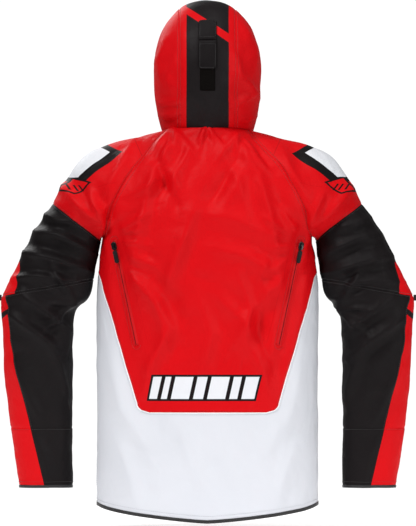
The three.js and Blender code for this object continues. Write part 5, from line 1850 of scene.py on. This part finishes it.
def pick_faces(obj, test):
    bpy.ops.object.mode_set(mode="OBJECT")
    for polygon in obj.data.polygons:
        polygon.select = bool(test(polygon))
    for edge in obj.data.edges:
        edge.select = False
    for vertex in obj.data.vertices:
        vertex.select = False
    bpy.ops.object.mode_set(mode="EDIT")
    bpy.ops.mesh.select_mode(type="FACE")


def round_edges(obj, width, segments=3, angle=30):
    modifier = obj.modifiers.new("round", "BEVEL")
    modifier.width = width
    modifier.segments = segments
    modifier.angle_limit = math.radians(angle)
    bpy.context.view_layer.objects.active = obj
    bpy.ops.object.modifier_apply(modifier=modifier.name)


def flatten(obj):
    """Puts the place, turn and size of an object into its mesh."""
    choose(obj)
    bpy.ops.object.transform_apply(location=True, rotation=True, scale=True)


def join(objects, name):
    choose(*objects)
    bpy.ops.object.join()
    objects[0].name = name
    return objects[0]


def oval_plate(name, wide, thick, long, inset, depth, waist=0.0):
    """A stretched cylinder with a sunken face; x is across, y outward and z along."""
    plate = start_primitive(bpy.ops.mesh.primitive_cylinder_add, vertices=40, radius=wide / 2 * MM,
                            depth=thick * MM, rotation=(math.radians(-90), 0, 0))
    plate.name = name
    flatten(plate)
    reach = (long - wide) / 2 * MM
    for vertex in plate.data.vertices:
        vertex.co.z += reach if vertex.co.z > 0 else -reach
    pick_faces(plate, lambda f: f.normal.y > 0.9)
    bpy.ops.mesh.inset(thickness=inset * MM, depth=0)
    bpy.ops.mesh.extrude_region_move(TRANSFORM_OT_translate={"value": (0, -depth * MM, 0)})
    bpy.ops.object.mode_set(mode="OBJECT")
    round_edges(plate, 0.18 * thick * MM)
    if waist:
        for vertex in plate.data.vertices:
            u = vertex.co.z / (long / 2 * MM)
            vertex.co.x *= 1 - waist * math.exp(-((u - 0.25) / 0.35) ** 2)
    return plate


def small_box(size, place, bevel):
    box = start_primitive(bpy.ops.mesh.primitive_cube_add, size=1.0)
    box.scale = [s * MM for s in size]
    box.location = [c * MM for c in place]
    flatten(box)
    round_edges(box, bevel * MM)
    return box


# %% Slider and pull, made once
SLIDER_WIDE, SLIDER_THICK, SLIDER_LONG = 11.0, 5.0, 17.0
PULL_WIDE, PULL_THICK, PULL_LONG = 9.0, 2.4, 26.0
RIB_PITCH = 3.0


def make_slider(name, wide):
    """Two plates with a gap for the chain, and a bridge over the upper one."""
    thick, long = SLIDER_THICK, SLIDER_LONG
    upper = oval_plate(f"{name}_upper", wide, 2.0, long, 1.3, 0.5)
    upper.location.y = (thick / 2 - 2.4) * MM
    flatten(upper)
    lower = oval_plate(f"{name}_lower", wide - 1.2, 1.5, long - 1.5, 1.5, 0.3)
    lower.location.y = (-thick / 2 + 0.75) * MM
    flatten(lower)
    post = small_box((2.6, 2.2, 4.0), (0, -0.7, -4.2), 0.4)
    bridge = [small_box((2.4, 1.0, 9.5), (0, thick / 2 - 0.5, 0.6), 0.35),
              small_box((2.4, 2.0, 1.6), (0, thick / 2 - 1.4, -3.6), 0.35),
              small_box((2.4, 2.0, 1.6), (0, thick / 2 - 1.4, 4.8), 0.35)]
    return join([upper, lower, post, *bridge], name)


def make_pull(name, long):
    """A rubber grip with ribs."""
    wide, thick = PULL_WIDE, PULL_THICK
    grip = oval_plate(f"{name}_grip", wide, thick, long, 1.2, 0.4, waist=0.16)
    ribs = [small_box((wide - 4.0, 0.7, 1.2), (0, thick / 2 - 0.3, long / 2 - 5 - RIB_PITCH * k), 0.25)
            for k in range(4)]
    return join([grip, *ribs], name)


def place_copy(master, name, material, line, along, lift, body, node):
    """A copy with its own mesh, turned into a zip's directions."""
    obj = bpy.data.objects.new(name, master.data.copy())
    bpy.context.scene.collection.objects.link(obj)
    middle = (line["start"] + line["along"] * along + line["out"] * lift) * MM
    frame_matrix = Matrix(np.column_stack([line["across"], line["out"], line["along"]]).tolist())
    obj.data.transform(Matrix.Translation(Vector(middle)) @ frame_matrix.to_4x4())
    obj.data.materials.clear()
    obj.data.materials.append(material)
    choose(obj)
    bpy.ops.object.shade_smooth_by_angle(angle=SMOOTH_ANGLE)
    bpy.ops.object.mode_set(mode="EDIT")
    bpy.ops.mesh.select_all(action="SELECT")
    bpy.ops.mesh.normals_make_consistent(inside=False)
    bpy.ops.object.mode_set(mode="OBJECT")
    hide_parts(node)
    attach(obj, body)
    pieces[name] = obj
    return obj


FIT, ZIP_THICK = 0.35, 4.0
slider_master = make_slider("slider_master", SLIDER_WIDE)
pull_master = make_pull("pull_master", PULL_LONG)
wide_slider = make_slider("wide_slider", SLIDER_WIDE + 1)
long_pull = make_pull("long_pull", PULL_LONG + 8)
for name, line in zips.items():
    lift = ZIP_THICK / 2 + FIT
    place_copy(slider_master, f"{name}_slider_body", slider_metal, line, SLIDER_LONG / 2 + 2,
               lift + SLIDER_THICK / 2, f"{name}_runner", f"{name}_slider")
    place_copy(pull_master, f"{name}_pull_grip", pull_rubber, line,
               2 + SLIDER_LONG + FIT + PULL_LONG / 2, lift + SLIDER_THICK - PULL_THICK / 2,
               f"{name}_puller", f"{name}_pull")
lift = 1.3 + FIT
place_copy(wide_slider, "front_slider_body", slider_metal, front_zip, SLIDER_LONG / 2 + 4,
           lift + SLIDER_THICK / 2, "front_runner", "front_zip_slider")
place_copy(long_pull, "front_pull_grip", pull_rubber, front_zip,
           4 + SLIDER_LONG + FIT + PULL_LONG / 2 + 4, lift + SLIDER_THICK - PULL_THICK / 2,
           "front_puller", "front_zip_pull")
for master in (slider_master, pull_master, wide_slider, long_pull):
    bpy.data.objects.remove(master, do_unlink=True)


# %% Zip box, sleeve tags and hanger loop
def boxed(name, node, material, body, bevel):
    """A rounded block exactly where the frame has one."""
    low, high = lowest_and_highest(node)
    block_piece = small_box(high - low, (low + high) / 2, bevel)
    block_piece.name = name
    block_piece.data.materials.append(material)
    choose(block_piece)
    bpy.ops.object.shade_smooth_by_angle(angle=SMOOTH_ANGLE)
    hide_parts(node)
    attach(block_piece, body)
    pieces[name] = block_piece
    return block_piece


boxed("front_box_block", "front_zip_box", slider_metal, "jacket_body", 0.8)
for side in SIDES:
    boxed(f"{side}_tag_fold", f"{side}_sleeve_tag", black_trim, f"{side}_arm", 0.6)
loop_low, loop_high = lowest_and_highest("hanger_loop")
t = np.linspace(0, math.pi, 40)
loop_x = -(loop_high[0] - 1.5) * np.sign(np.cos(t)) * np.abs(np.cos(t)) ** 0.6
loop_y = loop_high[1] - (loop_high[1] - loop_low[1] - 1.2) * np.abs(np.sin(t)) ** 0.6 - 0.6
loop_path = vec(loop_x, loop_y, (loop_low[2] + loop_high[2]) / 2)
tangent = np.gradient(loop_path, axis=0)
tangent /= np.linalg.norm(tangent, axis=1, keepdims=True)
up_way = np.tile([0, 0, 1.0], (40, 1))
hanger = swept("hanger_strap", loop_path, np.cross(up_way, tangent), up_way,
               rounded_section(-0.6, 0.6, -3.3, 3.3, 0.45), [black_trim])
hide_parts("hanger_loop")
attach(hanger, "jacket_body")
print(len(pieces), "pieces,", sum(len(o.data.polygons) for o in pieces.values()), "faces")

# %% [markdown]
# The camera stands well back, level with the chest, so the jacket is seen flat on as in a
# catalogue. The floor and the light are pale and soft.

# %% Camera, floor and light
SPAN = 1.052                       # metres from the bottom of the view to its top
STAND_BACK = 14.0
SHOULDER_DEPTH = 0.08             # how far the widest outline lies behind the back's middle
camera_data = bpy.data.cameras.new("view")
camera = bpy.data.objects.new("view", camera_data)
bpy.context.scene.collection.objects.link(camera)
camera_data.sensor_fit = "VERTICAL"
camera_data.sensor_height = 36.0
camera_data.lens = 36.0 * (STAND_BACK + SHOULDER_DEPTH) / SPAN
camera_data.clip_end = 60.0
camera.location = (-0.0008, STAND_BACK, -0.270)
camera.rotation_euler = (math.radians(90), 0, math.radians(180))
bpy.context.scene.camera = camera

FLOOR_LEVEL = cad_box[0][2] - 0.02
bpy.ops.object.select_all(action="DESELECT")
bpy.ops.mesh.primitive_circle_add(vertices=96, radius=1.6, fill_type="NGON",
                                  location=(0, 0, FLOOR_LEVEL))
floor = bpy.context.object
floor.name = "floor"
ground = Recipe("pale floor")
floor.data.materials.append(ground.finish(Base_Color=colour(250, 250, 250), Roughness=0.9,
                                          Emission_Color=(1, 1, 1, 1), Emission_Strength=0.45))

world = bpy.data.worlds.new("studio")
bpy.context.scene.world = world
world.use_nodes = True
sky = world.node_tree
backdrop = sky.nodes["Background"]
backdrop.inputs["Color"].default_value = (1, 1, 1, 1)
seen = sky.nodes.new("ShaderNodeLightPath")
strength = sky.nodes.new("ShaderNodeMapRange")
strength.inputs["To Min"].default_value = 0.17
strength.inputs["To Max"].default_value = 1.05
sky.links.new(seen.outputs["Is Camera Ray"], strength.inputs["Value"])
sky.links.new(strength.outputs["Result"], backdrop.inputs["Strength"])


def soft_light(name, place, aim, size, power_watts):
    data = bpy.data.lights.new(name, "AREA")
    data.size = size
    data.energy = power_watts
    light = bpy.data.objects.new(name, data)
    bpy.context.scene.collection.objects.link(light)
    light.location = place
    light.rotation_euler = (Vector(aim) - Vector(place)).to_track_quat("-Z", "Y").to_euler()


soft_light("key", (2.2, 2.6, 3.1), (0, 0, -0.25), 0.9, 136)
soft_light("fill", (-3.2, 3.0, 0.6), (0, 0, -0.3), 1.8, 72)
soft_light("top", (-0.6, 0.9, 3.2), (0, 0, -0.2), 1.2, 34)
soft_light("front key", (1.8, -3.4, 2.0), (0, 0, -0.25), 2.0, 60)
bpy.context.scene.view_settings.view_transform = "Standard"
print("camera", tuple(round(v, 3) for v in camera.location))
